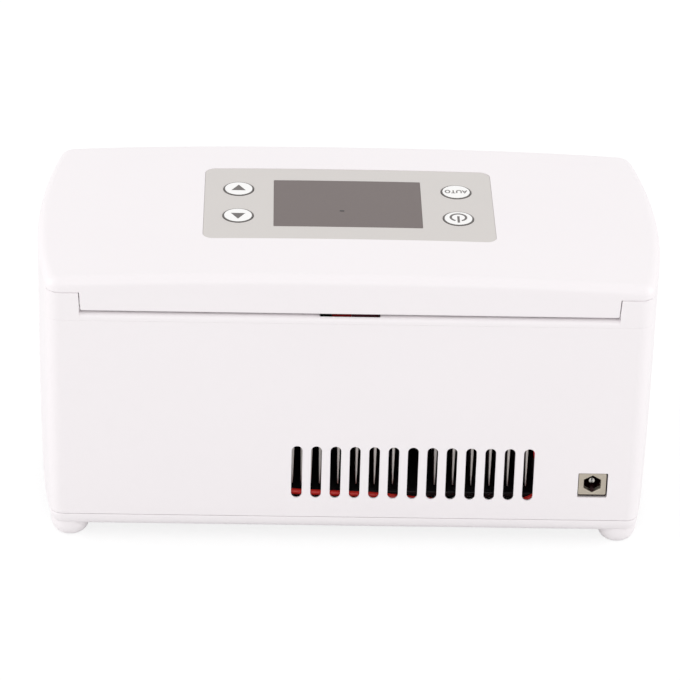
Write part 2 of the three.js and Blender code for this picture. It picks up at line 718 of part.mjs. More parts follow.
// Main board with its parts, on the right
const board = { toDuct: 2.2, endMargin: 12, rearMargin: 6, frontMargin: 16, lift: 12.4, thickness: 1.6 };
const boardXs = [ductXs[1] + board.toDuct, halfLength - board.endMargin];
const boardYs = [rearY + board.rearMargin, frontY - board.frontMargin];
const boardBottom = bodyBottom + board.lift;
const boardTop = boardBottom + board.thickness;
const chip = { size: 12, height: 2, fromLeft: 6, fromRear: 24 };
const capacitor = { radius: 4, height: 11, fromLeft: 8, fromFront: 13 };
const plugBlock = { width: 6.4, depth: 6, height: 11.6, fromLeft: 1, fromRear: 2 };
const plugXs = [boardXs[0] + plugBlock.fromLeft, boardXs[0] + plugBlock.fromLeft + plugBlock.width];
const plugYs = [boardYs[0] + plugBlock.fromRear, boardYs[0] + plugBlock.fromRear + plugBlock.depth];
const plugX = (plugXs[0] + plugXs[1]) / 2;
const plugTop = boardTop + closeFit + plugBlock.height;

function addMainBoard() {
  let plate = box(boardXs, boardYs, [boardBottom, boardTop]);
  for (const sideY of [-1, 1]) {
    const [low, high] = [boardBottom - overrun, boardTop + overrun];
    plate = cut(plate, rodZ(footX, sideY * footY, boss.postRadius + fit * 2, low, high));
  }
  addPiece(base, 'main_board', plate, boardGreen);
  const seat = boardTop + closeFit;
  const chipXs = [boardXs[0] + chip.fromLeft, boardXs[0] + chip.fromLeft + chip.size];
  const chipYs = [boardYs[0] + chip.fromRear, boardYs[0] + chip.fromRear + chip.size];
  addPiece(base, 'board_controller', box(chipXs, chipYs, [seat, seat + chip.height]), blackPlastic);
  const capPlace = [boardXs[0] + capacitor.fromLeft, boardYs[1] - capacitor.fromFront];
  const can = rodZ(...capPlace, capacitor.radius, seat, seat + capacitor.height);
  addPiece(base, 'board_capacitor', can, aluminium);
  addPiece(base, 'board_connector', box(plugXs, plugYs, [seat, plugTop]), ceramic);
}

// Power inlet behind the opening in the rear wall
const jack = {
  faceWidth: 9.3, faceHeight: 8.1, faceThickness: 1, recess: 0.3, dropFromTop: 0.2, fromLeft: 0.2,
  hexRadius: 3.25, bodyInset: 0.4, bodyDepth: 12.5,
  boreRadius: 3, boreDepth: 9, pinRadius: 1.1, pinRecess: 2.4,
};
const jackFaceY = rearY + jack.recess;
const jackXs = [inletLeft + jack.fromLeft, inletLeft + jack.fromLeft + jack.faceWidth];
const jackZs = [inletTop - jack.dropFromTop - jack.faceHeight, inletTop - jack.dropFromTop];
const jackX = (jackXs[0] + jackXs[1]) / 2;
const jackZ = (jackZs[0] + jackZs[1]) / 2;

function addPowerInlet() {
  const hexagon = [];
  for (let i = 0; i < 6; i += 1) {
    const angle = (i / 6) * Math.PI * 2 + Math.PI / 2;
    hexagon.push([jackX + jack.hexRadius * Math.cos(angle), jackZ + jack.hexRadius * Math.sin(angle)]);
  }
  const faceBack = jackFaceY + jack.faceThickness;
  const hexOpening = alongY(polygon(hexagon), jackFaceY - overrun, faceBack + overrun);
  addPiece(base, 'inlet_face', cut(box(jackXs, [jackFaceY, faceBack], jackZs), hexOpening), steel);
  const bodyFront = faceBack + closeFit;
  const bodyYs = [bodyFront, bodyFront + jack.bodyDepth];
  const bodyZs = [Math.max(boardTop, inletBottom) + fit, jackZs[1] - jack.bodyInset];
  const bore = rodY(jackX, jackZ, jack.boreRadius, bodyFront - overrun, bodyFront + jack.boreDepth);
  const body = cut(box(grown(jackXs, -jack.bodyInset), bodyYs, bodyZs), bore);
  addPiece(base, 'inlet_body', body, blackPlastic);
  const pinEnd = bodyFront + jack.boreDepth - closeFit;
  const centrePin = rodY(jackX, jackZ, jack.pinRadius, jackFaceY + jack.pinRecess, pinEnd, smallRoundSteps);
  addPiece(base, 'inlet_pin', centrePin, steel);
}

// Leads along the foot of the rear wall and up to the right-hand module
const lead = { radius: 1.1, wallGap: 0.4 };
const leadY = rearY + wall + baseDraft + lead.wallGap + lead.radius;

function addLeads() {
  const socketY = plugYs[0] - fit;
  const socketZ = boardTop + plugBlock.height / 4;
  const topSocketZ = boardTop + plugBlock.height * 3 / 4;
  const cradleRear = rearY + cradle.fromRear - cradle.wall;
  const leave = ductXs[0];
  const along = ventCentreX;
  const redRoute = [
    [leave - 6.4, cradleRear - 0.9, bodyBottom + 11],
    [leave - 6.4, cradleRear - 6.6, bodyBottom + 11.3],
    [leave - 5.4, rearY + 11.5, bodyBottom + 12], [leave - 1.9, rearY + 5.3, bodyBottom + 13.1],
    [along - 39.1, leadY, bodyBottom + 12.9], [along - 26.1, leadY, bodyBottom + 12.4],
    [along - 13.1, leadY, bodyBottom + 11.9], [along, leadY, bodyBottom + 10.6],
    [along + 13.4, leadY, bodyBottom + 9.4], [along + 27.4, leadY, bodyBottom + 8.9],
    [plugX - 13.7, leadY, bodyBottom + 10], [plugX - 7.7, leadY, bodyBottom + 13.4],
    [plugX - 3.7, leadY, bodyBottom + 16], [plugX - 1.4, rearY + 5.1, socketZ],
    [plugX - 1.2, socketY, socketZ],
  ];
  const blackRoute = [
    [leave - 9.9, cradleRear - 0.9, bodyBottom + 7], [leave - 9.9, cradleRear - 6.6, bodyBottom + 7],
    [leave - 8.4, rearY + 12.5, bodyBottom + 7], [leave - 3.4, rearY + 7.9, bodyBottom + 6.8],
    [leave + 4.6, rearY + 7.1, bodyBottom + 6.5], [along - 22.6, rearY + 7.1, bodyBottom + 6.5],
    [along + 2.4, rearY + 7.1, bodyBottom + 6.5], [along + 27.4, rearY + 7.1, bodyBottom + 6.5],
    [plugX - 15.7, rearY + 6.9, bodyBottom + 6.7], [plugX - 9.7, rearY + 5.1, bodyBottom + 8.6],
    [plugX - 5.2, leadY, bodyBottom + 11.2], [plugX - 1.2, leadY, bodyBottom + 14.8],
    [plugX + 1.4, rearY + 4.7, socketZ - 0.4], [plugX + 1.7, socketY, socketZ],
  ];
  const moduleX = stackX(1) + stack.block / 2;
  const moduleRear = stackY - stack.block / 2;
  const moduleRoute = [
    [moduleX - 2.9, moduleRear - 0.6, moduleBottom + 2],
    [moduleX - 2.3, moduleRear - 4.2, moduleBottom + 2.4],
    [moduleX + 0.1, leadY, moduleBottom + 1.2], [moduleX + 2.6, leadY, moduleBottom - 2.8],
    [moduleX + 3.2, leadY, moduleBottom - 7.8], [plugX - 9, leadY, bodyBottom + 27],
    [plugX - 6.7, leadY, topSocketZ + 0.8], [plugX - 2.7, leadY, topSocketZ - 0.1],
    [plugX + 0.3, rearY + 5.1, topSocketZ - 0.1], [plugX + 0.5, socketY, topSocketZ - 0.1],
  ];
  addPiece(base, 'battery_lead_red', tube(redRoute, lead.radius, 30), redSleeve);
  addPiece(base, 'battery_lead_black', tube(blackRoute, lead.radius, 30), blackSleeve);
  addPiece(base, 'module_lead_red', tube(moduleRoute, lead.radius, 20), redSleeve);
}

// Lid shell: crowned top, filleted rim, rear skirt with the hinge knuckles
const panel = {
  halfLength: 49.1, rearMargin: 28.1, frontMargin: 19.9, corner: 3.5, thickness: 1.5, sunk: 0.1, ledge: 3,
};
const panelYs = [rearY + panel.rearMargin, frontY - panel.frontMargin];
const panelCentreY = (panelYs[0] + panelYs[1]) / 2;
const display = { overhang: 4.1, setback: 1.85, thickness: 1.6, underTop: 9, postRadius: 2, postInset: 3.2 };
const displayXs = grown([-panel.halfLength, panel.halfLength], display.overhang);
const displayYs = grown(panelYs, -display.setback);
const displayBottom = lidTop - display.underTop;
const displayTop = displayBottom + display.thickness;

function panelShape(by) {
  const xs = grown([-panel.halfLength, panel.halfLength], by);
  return roundedRect(xs, grown(panelYs, by), panel.corner + Math.max(by, -fit));
}

function addLidShell() {
  const outerRings = [crownedRing(0, () => lidSeam)];
  for (let i = 0; i <= filletSteps; i += 1) {
    const angle = (i / filletSteps) * (Math.PI / 2);
    const inset = lidFillet * (1 - Math.cos(angle));
    outerRings.push(crownedRing(inset, (x) => lidTop - crownFall(x) - lidFillet * (1 - Math.sin(angle))));
  }
  const inner = loft([
    crownedRing(wall, () => lidSeam - overrun),
    crownedRing(wall, (x) => lidTop - crownFall(x) - wall),
  ]);
  let shell = cut(loft(outerRings), inner);
  const outline = skirtOutline(0);
  const lowWidth = outline.widthAt(skirtBottom);
  const highWidth = outline.widthAt(lidSeam);
  const apron = alongY(polygon([
    [-lowWidth, skirtBottom],
    [lowWidth, skirtBottom],
    [highWidth, lidSeam + fit],
    [-highWidth, lidSeam + fit],
  ]), rearY, rearY + wall);
  shell = joined(shell, apron);
  for (const [, side] of sides) {
    const ends = [side * knuckleInnerX, side * lowWidth];
    const xs = [Math.min(...ends), Math.max(...ends)];
    const knuckleTop = lidTop - lidFillet - fit;
    shell = joined(shell, box(xs, [rearY + wall / 2, knuckleFrontY], [skirtBottom, knuckleTop]));
    shell = cut(shell, rodX(pinY, pinZ, pin.radius + fit, xs[0] - overrun, xs[1] + overrun, smallRoundSteps));
  }
  const postTop = lidTop - wall;
  for (const x of grown(displayXs, -display.postInset)) {
    for (const y of grown(displayYs, -display.postInset)) {
      shell = joined(shell, rodZ(x, y, display.postRadius, displayTop + closeFit, postTop, smallRoundSteps));
    }
  }
  const recess = alongZ(panelShape(closeFit), displayTop, lidTop + overrun);
  const recessSlab = crownSlab(panel.thickness + panel.sunk + closeFit, overrun);
  const opening = alongZ(panelShape(-panel.ledge), displayBottom, lidTop + overrun);
  shell = cut(shell, recess.intersect(recessSlab), opening);
  addPiece(lid, 'lid_shell', shell, whitePlastic);
}

// Control panel, window and buttons
const window = { endMargin: 24, edgeMargin: 9, corner: 0.8, thickness: 1, ledge: 1.2 };
const windowXs = grown([-panel.halfLength, panel.halfLength], -window.endMargin);
const windowYs = grown(panelYs, -window.edgeMargin);
const button = { fromEnd: 11.9, spacing: 20.2, forward: 0.4, radius: 5.25, proud: 0.15, edge: 0.3 };
const buttonX = panel.halfLength - button.fromEnd;
const buttonYs = around(panelCentreY + button.forward, button.spacing);
const buttonPart = { flangeRadius: 6, flangeHeight: 0.5, stemRadius: 2, travel: 0.5 };
const keySwitch = { size: 6, height: 3.4, plungerRadius: 1.7, plungerHeight: 0.5 };
const buttonPlaces = [
  ['up', -buttonX, buttonYs[0]],
  ['down', -buttonX, buttonYs[1]],
  ['power', buttonX, buttonYs[0]],
  ['auto', buttonX, buttonYs[1]],
];
const switchBottom = displayTop + closeFit;
const plungerTop = switchBottom + keySwitch.height + keySwitch.plungerHeight;

function windowShape(by) {
  return roundedRect(grown(windowXs, by), grown(windowYs, by), window.corner);
}

function addControlPanel() {
  const plate = alongZ(panelShape(0), displayTop, lidTop + overrun);
  const slab = crownSlab(panel.thickness + panel.sunk, -panel.sunk);
  const pocketSlab = crownSlab(window.thickness + panel.sunk + closeFit, overrun);
  const pocket = alongZ(windowShape(closeFit), displayTop, lidTop + overrun).intersect(pocketSlab);
  const opening = alongZ(windowShape(-window.ledge), displayTop, lidTop + overrun);
  const holes = buttonPlaces.map(([, x, y]) => (
    rodZ(x, y, button.radius + closeFit, displayTop, lidTop + overrun, buttonSteps)
  ));
  addPiece(lid, 'control_panel', cut(plate.intersect(slab), pocket, opening, ...holes), greyPlastic);
  const windowSlab = crownSlab(window.thickness + panel.sunk, -panel.sunk);
  const glass = alongZ(windowShape(0), displayTop, lidTop + overrun).intersect(windowSlab);
  addPiece(lid, 'display_window', glass, darkWindow);
}

function addButtons() {
  const crownHere = lidTop - crownFall(buttonX);
  const bottom = plungerTop + buttonPart.travel + fit / 3;
  const flangeTop = bottom + buttonPart.flangeHeight;
  const top = crownHere + button.proud;
  for (const [name, x, y] of buttonPlaces) {
    const profile = [
      [0, bottom],
      [buttonPart.flangeRadius, bottom],
      [buttonPart.flangeRadius, flangeTop],
      [button.radius, flangeTop],
      [button.radius, top - button.edge],
      [button.radius - button.edge, top],
      [0, top],
    ];
    addPiece(lid, `${name}_button`, turnedAboutZ(profile, x, y, 0, buttonSteps), whitePlastic);
    const switchTop = switchBottom + keySwitch.height;
    const body = box(around(x, keySwitch.size), around(y, keySwitch.size), [switchBottom, switchTop]);
    const plunger = rodZ(x, y, keySwitch.plungerRadius, switchBottom + fit, plungerTop, smallRoundSteps);
    addPiece(lid, `key_switch_${name}`, joined(body, plunger), blackPlastic);
  }
}

// Display board and display module under the panel
const screen = { sideMargin: 2.7, height: 5.1 };

function addDisplay() {
  addPiece(lid, 'display_board', box(displayXs, displayYs, [displayBottom, displayTop]), boardGreen);
  const screenXs = grown(windowXs, screen.sideMargin);
  const screenYs = grown(windowYs, screen.sideMargin);
  const zs = [displayTop + closeFit, displayTop + closeFit + screen.height];
  addPiece(lid, 'display_module', box(screenXs, screenYs, zs), blackPlastic);
}

// Lid liner with the plug that closes the tray, its foam, gasket and magnet
const liner = { endMargin: 10, rearMargin: 5, frontMargin: 2.9, thickness: 1.4, corner: 8, seat: 0.1 };
const plug = { clearance: 1.5, depth: 5, wall: 1.6 };
const gasket = { width: 3.2, gap: 0.2, offset: 0.3 };
const linerBottom = lidSeam + liner.seat;
const linerTop = linerBottom + liner.thickness;
const plugBottom = deckTop - plug.depth;

function addLidLiner() {
  const flangeShape = roundedRect(
    grown([-halfLength, halfLength], -liner.endMargin),
    [rearY + liner.rearMargin, frontY - liner.frontMargin],
    liner.corner,
  );
  const holderTop = deckTop + magnet.thickness / 3;
  const holder = rodZ(0, magnetY - fit, magnet.radius + liner.thickness, holderTop, linerBottom + fit);
  const flange = alongZ(flangeShape, linerBottom, linerTop);
  const plugOuter = alongZ(trayShape(-plug.clearance), plugBottom, linerTop);
  const plugInset = plug.clearance + plug.wall;
  const plugInner = alongZ(trayShape(-plugInset), plugBottom + plug.wall, linerTop + overrun);
  const magnetLow = holderTop + closeFit;
  const magnetHigh = magnetLow + magnet.thickness;
  const pocket = rodZ(0, magnetY - fit, magnet.radius + closeFit, holderTop - overrun, magnetHigh + closeFit);
  const cableNotch = box(
    [-cable.halfWidth - fit, cable.halfWidth + fit],
    [rearY, rearY + cable.slotTo],
    [linerBottom - overrun, linerTop + overrun],
  );
  const body = cut(joined(flange, plugOuter, holder), plugInner, pocket, cableNotch);
  addPiece(lid, 'lid_liner', body, whitePlastic);
  addPiece(lid, 'lid_magnet', rodZ(0, magnetY - fit, magnet.radius, magnetLow, magnetHigh), steel);

  const foamShape = trayShape(-plugInset - fit);
  addPiece(lid, 'lid_foam', alongZ(foamShape, plugBottom + plug.wall + closeFit, displayBottom - fit), foam);

  const sealInner = trayShape(-plug.clearance + gasket.offset);
  const sealOuter = trayShape(-plug.clearance + gasket.offset + gasket.width);
  const [sealLow, sealHigh] = [deckTop + gasket.gap, linerBottom - closeFit];
  const sealHole = alongZ(sealInner, sealLow - overrun, sealHigh + overrun);
  addPiece(lid, 'lid_gasket', cut(alongZ(sealOuter, sealLow, sealHigh), sealHole), silicone);
}

// Harness: a flat lead up through the frame's cable slot, in two halves that part beside the hinge
const harness = { halfWidth: 9.5, thickness: 1, gap: 0.4, fall: 11, trunkRadius: 1.8 };

function addHarness() {
  const ys = around(cableY, harness.thickness);
  const flatXs = [-harness.halfWidth, harness.halfWidth];
  const split = deckTop + harness.thickness;
  const flatLow = deckTop - harness.fall;
  const trunkY = (plugYs[0] + plugYs[1]) / 2;
  const trunkRoute = [
    [0, cableY, flatLow + 1], [0, cableY, flatLow - 3], [7, cableY, flatLow - 8.6],
    [30, cableY, sinkTop + 18.35], [plugX - 15.7, cableY, sinkTop + 10.35],
    [plugX - 3.7, cableY, sinkTop + 2.35],
    [plugX + 0.3, trunkY - 2.5, plugTop + 7.7], [plugX + 0.3, trunkY, plugTop + 3.7],
    [plugX + 0.3, trunkY, plugTop + 0.4],
  ];
  const flat = box(flatXs, ys, [flatLow, split - harness.gap]);
  addPiece(base, 'lid_harness_lower', joined(flat, tube(trunkRoute, harness.trunkRadius, 26)), blackSleeve);

  const overY = linerTop + fit;
  const boardEdgeY = displayYs[0];
  const seat = displayTop + closeFit;
  const upperShape = polygon([
    [ys[0], split + harness.gap],
    [ys[1], split + harness.gap],
    [ys[1], overY],
    [boardEdgeY, overY],
    [boardEdgeY + harness.thickness * 2, seat],
    [boardEdgeY + harness.thickness * 4, seat],
    [boardEdgeY + harness.thickness * 4, seat + harness.thickness],
    [boardEdgeY + harness.thickness * 2, seat + harness.thickness],
    [boardEdgeY, overY + harness.thickness],
    [ys[0], overY + harness.thickness],
  ]);
  addPiece(lid, 'lid_harness_upper', alongX(upperShape, ...flatXs), blackSleeve);
}

addFeetAndScrews();
addOuterShell();
addBottomCover();
addTopFrame();
addHingePins();
addColdTray();
addInsulation();
addCoolingStack();
addDuct();
addFans();
addBattery();
addMainBoard();
addPowerInlet();
addLeads();
addLidShell();
addControlPanel();
addButtons();
addDisplay();
addLidLiner();
addHarness();

export default object;
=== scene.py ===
"""Insulin cooling case: the finish of every surface and the fine shape of every visible piece.

Pieces are modelled in millimetres in the frame's own axes and scaled to metres when they are finished.
"""
import json
import math
from contextlib import contextmanager

import bmesh
import bpy
from mathutils import Matrix, Vector


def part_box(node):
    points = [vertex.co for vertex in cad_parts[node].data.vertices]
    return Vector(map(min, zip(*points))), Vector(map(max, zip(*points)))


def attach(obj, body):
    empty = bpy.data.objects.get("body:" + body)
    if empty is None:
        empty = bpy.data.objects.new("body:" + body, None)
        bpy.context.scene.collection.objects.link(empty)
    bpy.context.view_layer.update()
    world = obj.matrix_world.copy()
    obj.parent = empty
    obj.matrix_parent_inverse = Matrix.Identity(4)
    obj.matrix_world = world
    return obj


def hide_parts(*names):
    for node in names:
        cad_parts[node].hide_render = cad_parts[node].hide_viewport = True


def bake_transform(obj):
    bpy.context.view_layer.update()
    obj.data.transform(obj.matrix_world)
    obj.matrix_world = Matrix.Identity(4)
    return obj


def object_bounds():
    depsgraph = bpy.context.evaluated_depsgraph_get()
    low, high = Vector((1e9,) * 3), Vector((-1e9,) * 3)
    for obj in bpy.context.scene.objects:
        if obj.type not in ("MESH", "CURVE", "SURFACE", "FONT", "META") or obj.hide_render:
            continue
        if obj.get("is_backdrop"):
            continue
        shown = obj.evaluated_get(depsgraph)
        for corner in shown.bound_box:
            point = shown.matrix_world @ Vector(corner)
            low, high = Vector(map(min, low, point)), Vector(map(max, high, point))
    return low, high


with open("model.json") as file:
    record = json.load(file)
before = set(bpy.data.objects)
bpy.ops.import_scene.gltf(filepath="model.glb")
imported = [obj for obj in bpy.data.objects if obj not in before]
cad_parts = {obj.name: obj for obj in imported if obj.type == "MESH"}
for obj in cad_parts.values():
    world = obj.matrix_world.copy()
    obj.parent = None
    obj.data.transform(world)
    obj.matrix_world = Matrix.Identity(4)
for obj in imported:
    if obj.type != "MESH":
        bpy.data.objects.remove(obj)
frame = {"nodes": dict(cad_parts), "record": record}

cad_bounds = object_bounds()

MM = 0.001


def span(node):
    """The lowest and highest corners of a CAD node, in millimetres."""
    low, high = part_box(node)
    return low / MM, high / MM


# Sizes of the case that the frame gives
shell_low, shell_high = span("outer_shell")
cover_low, cover_high = span("bottom_cover")
frame_low, frame_high = span("top_frame")
lid_low, lid_high = span("lid_shell")
tray_low, tray_high = span("cold_tray")
panel_low, panel_high = span("control_panel")
window_low, window_high = span("display_window")
liner_low, liner_high = span("lid_liner")

HALF_LENGTH = shell_high.x
HALF_DEPTH = shell_high.y
REAR = -HALF_DEPTH
FRONT = HALF_DEPTH
LID_TOP = lid_high.z
LID_BOTTOM = lid_low.z
FRAME_TOP = frame_high.z
DECK_TOP = tray_high.z
BODY_BOTTOM = cover_low.z

# Sizes of the walls, edges and clearances
WALL = 2.4
END_BULGE = 5.6
CORNER_RADIUS = 5.2
INNER_CORNER = 1
CROWN_DROP = 2.8
CROWN_POWER = 2.5
LID_FILLET = 3.2
BASE_FILLET = 4.4
BASE_DRAFT = 0.6
FIT = 0.3
CLOSE_FIT = 0.15
OVERRUN = 2
SEAM_EDGE = 0.14
FINE_EDGE = 0.15
LID_LINE = 0.12
PARTING_LINE = 0.02
PARTING_EDGE = 0.06
SKIRT_LOWERED = 0.37

COVER_SEAM = shell_low.z - CLOSE_FIT
PARTING = shell_high.z + CLOSE_FIT
LID_SEAM = FRAME_TOP + LID_LINE
SKIRT_BOTTOM = LID_BOTTOM - SKIRT_LOWERED

# Smoothness of the round stretches
CORNER_STEPS = 12
END_STEPS = 16
SIDE_STEPS = 30
FILLET_STEPS = 8
EDGE_STEPS = 3
MOUTH_STEPS = 5
CIRCLE_STEPS = 64
SMOOTH_ANGLE = math.radians(33)
WELD = 0.0005

QUARTER = math.pi / 2


# The camera of the photograph, and the light
PHOTO_SIZE = 680
PHOTO_FOCAL = 3610.52
CAMERA_YAW = math.radians(-1.47)
CAMERA_ELEVATION = math.radians(28.62)
CAMERA_ROLL = math.radians(1.54)
CAMERA_DISTANCE = 1.247
CAMERA_TARGET = Vector((-0.00185, 0, 0.05137))
SENSOR = 36
CLIP_SHARE = 10


def add_camera():
    data = bpy.data.cameras.new("camera")
    data.sensor_width = SENSOR
    data.lens = PHOTO_FOCAL / PHOTO_SIZE * SENSOR
    data.clip_end = CLIP_SHARE * CAMERA_DISTANCE
    camera = bpy.data.objects.new("camera", data)
    bpy.context.scene.collection.objects.link(camera)
    flat = math.cos(CAMERA_ELEVATION)
    back = Vector((
        math.sin(CAMERA_YAW) * flat,
        -math.cos(CAMERA_YAW) * flat,
        math.sin(CAMERA_ELEVATION),
    ))
    right = Vector((math.cos(CAMERA_YAW), math.sin(CAMERA_YAW), 0))
    up = back.cross(right)
    turned_right = right * math.cos(CAMERA_ROLL) + up * math.sin(CAMERA_ROLL)
    turned_up = up * math.cos(CAMERA_ROLL) - right * math.sin(CAMERA_ROLL)
    turn = Matrix((turned_right, turned_up, back)).transposed().to_4x4()
    camera.matrix_world = Matrix.Translation(CAMERA_TARGET + back * CAMERA_DISTANCE) @ turn
    bpy.context.scene.camera = camera


WORLD_STRENGTH = 0.88
LAMPS = {
    "left": {"size": 1.2, "power": 6.2, "place": (-1.6, -0.1, 0.5)},
    "right": {"size": 1.2, "power": 5.4, "place": (1.6, -0.1, 0.5)},
    "front": {"size": 1.4, "power": 3.4, "place": (0, -1.9, 0.8)},
}
LAMP_TARGET = (0, 0, 0.06)
MIRRORED_SHARE = 0.35
FLOOR_GLOW = 0.79
SHOWN_FLOOR = 0.25
FLOOR_COLOUR = 0.82
FLOOR_REACH = 3


def add_lamp(name, size, power, place):
    data = bpy.data.lights.new(name, "AREA")
    data.shape = "DISK"
    data.size = size
    data.energy = power
    lamp = bpy.data.objects.new(name, data)
    bpy.context.scene.collection.objects.link(lamp)
    lamp.location = place
    lamp.rotation_euler = (Vector(LAMP_TARGET) - Vector(place)).to_track_quat("-Z", "Y").to_euler()


def fed(tree, node, sockets):
    """Gives sockets of a shader node their values, or links them to outputs of other nodes."""
    for name, value in sockets.items():
        if isinstance(value, bpy.types.NodeSocket):
            tree.links.new(value, node.inputs[name])
        else:
            node.inputs[name].default_value = value
    return node


def added(tree, kind, sockets, **settings):
    """A new shader node with its settings and sockets."""
    node = tree.nodes.new(kind)
    for name, value in settings.items():
        setattr(node, name, value)
    return fed(tree, node, sockets)


def seen_directly(tree, mirrored_share=1):
    """1 for a ray from the camera, a share for one that glossy or clear surfaces send on, otherwise 0."""
    path = tree.nodes.new("ShaderNodeLightPath").outputs
    total = path["Is Camera Ray"]
    for name in ("Is Glossy Ray", "Is Transmission Ray"):
        part = added(tree, "ShaderNodeMath", {0: path[name], 1: mirrored_share}, operation="MULTIPLY")
        sockets = {0: total, 1: part.outputs[0]}
        total = added(tree, "ShaderNodeMath", sockets, operation="MAXIMUM").outputs[0]
    return total


def add_world():
    world = bpy.data.worlds.new("studio")
    bpy.context.scene.world = world
    world.use_nodes = True
    tree = world.node_tree
    sockets = {"Value": seen_directly(tree), "To Min": WORLD_STRENGTH, "To Max": 1}
    strength = added(tree, "ShaderNodeMapRange", sockets).outputs["Result"]
    fed(tree, tree.nodes["Background"], {"Color": (1, 1, 1, 1), "Strength": strength})


def new_material(name):
    material = bpy.data.materials.new(name)
    material.use_nodes = True
    return material, material.node_tree


def floor_material():
    material, tree = new_material("floor")
    tree.nodes.clear()
    lit, shaded = [
        added(tree, "ShaderNodeBsdfDiffuse", {"Color": (grey, grey, grey, 1)}).outputs[0]
        for grey in (FLOOR_COLOUR, SHOWN_FLOOR)
    ]
    glow = added(tree, "ShaderNodeEmission", {"Strength": FLOOR_GLOW}).outputs[0]
    shown = added(tree, "ShaderNodeAddShader", {0: shaded, 1: glow}).outputs[0]
    seen = seen_directly(tree, MIRRORED_SHARE)
    both = added(tree, "ShaderNodeMixShader", {"Fac": seen, 1: lit, 2: shown}).outputs[0]
    added(tree, "ShaderNodeOutputMaterial", {"Surface": both})
    return material


def add_floor():
    mesh = bpy.data.meshes.new("floor")
    corners = [(u * FLOOR_REACH, v * FLOOR_REACH, 0) for u, v in ((-1, -1), (1, -1), (1, 1), (-1, 1))]
    mesh.from_pydata(corners, [], [(0, 1, 2, 3)])
    mesh.materials.append(floor_material())
    floor = bpy.data.objects.new("floor", mesh)
    bpy.context.scene.collection.objects.link(floor)
    floor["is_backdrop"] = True


bpy.context.scene.view_settings.view_transform = "Standard"
add_camera()
add_world()
add_floor()
for lamp_name, lamp in LAMPS.items():
    add_lamp(lamp_name, **lamp)


# Materials, and the curve from written colours to light values: a straight foot, then a power
WRITTEN_TOP = 255
FOOT_SHARE = 0.04045
FOOT_SLOPE = 12.92
CURVE_OFFSET = 0.055
CURVE_POWER = 2.4
CLOUD_DETAIL = 3
GRAIN_DETAIL = 4
RELIEF_DEPTH = 0.1
SMOOTHEST = 0.02


def linear(colour):
    """A colour of 0 to 255 values, as light values."""
    values = []
    for channel in colour:
        share = channel / WRITTEN_TOP
        curved = ((share + CURVE_OFFSET) / (1 + CURVE_OFFSET)) ** CURVE_POWER
        values.append(share / FOOT_SLOPE if share <= FOOT_SHARE else curved)
    return (*values, 1)


def surface(name, colour, other, roughness, spread=0.05, metallic=0, cloud=40, grain=900,
            bump=0.03, stretch=(1, 1, 1), coat=0, sheen=0, specular=0.5):
    """A moulded, sawn or plated surface: two close colours in soft clouds, and a fine grain that
    moves its roughness and relief."""
    material, tree = new_material(name)
    place = tree.nodes.new("ShaderNodeTexCoord").outputs["Object"]
    sockets = {"Vector": place, "Scale": cloud, "Detail": CLOUD_DETAIL}
    clouds = added(tree, "ShaderNodeTexNoise", sockets).outputs["Fac"]
    sockets = {"Factor": clouds, "A": linear(colour), "B": linear(other)}
    mix = added(tree, "ShaderNodeMix", sockets, data_type="RGBA").outputs["Result"]

    stretched = added(tree, "ShaderNodeMapping", {"Vector": place, "Scale": stretch}).outputs["Vector"]
    sockets = {"Vector": stretched, "Scale": grain, "Detail": GRAIN_DETAIL}
    grains = added(tree, "ShaderNodeTexNoise", sockets).outputs["Fac"]
    low, high = max(roughness - spread, SMOOTHEST), roughness + spread
    sockets = {"Value": grains, "To Min": low, "To Max": high}
    rough = added(tree, "ShaderNodeMapRange", sockets).outputs["Result"]
    sockets = {"Height": grains, "Strength": bump, "Distance": RELIEF_DEPTH * MM}
    relief = added(tree, "ShaderNodeBump", sockets).outputs["Normal"]
    fed(tree, tree.nodes["Principled BSDF"], {
        "Base Color": mix,
        "Roughness": rough,
        "Normal": relief,
        "Metallic": metallic,
        "Coat Weight": coat,
        "Sheen Weight": sheen,
        "Specular IOR Level": specular,
    })
    return material


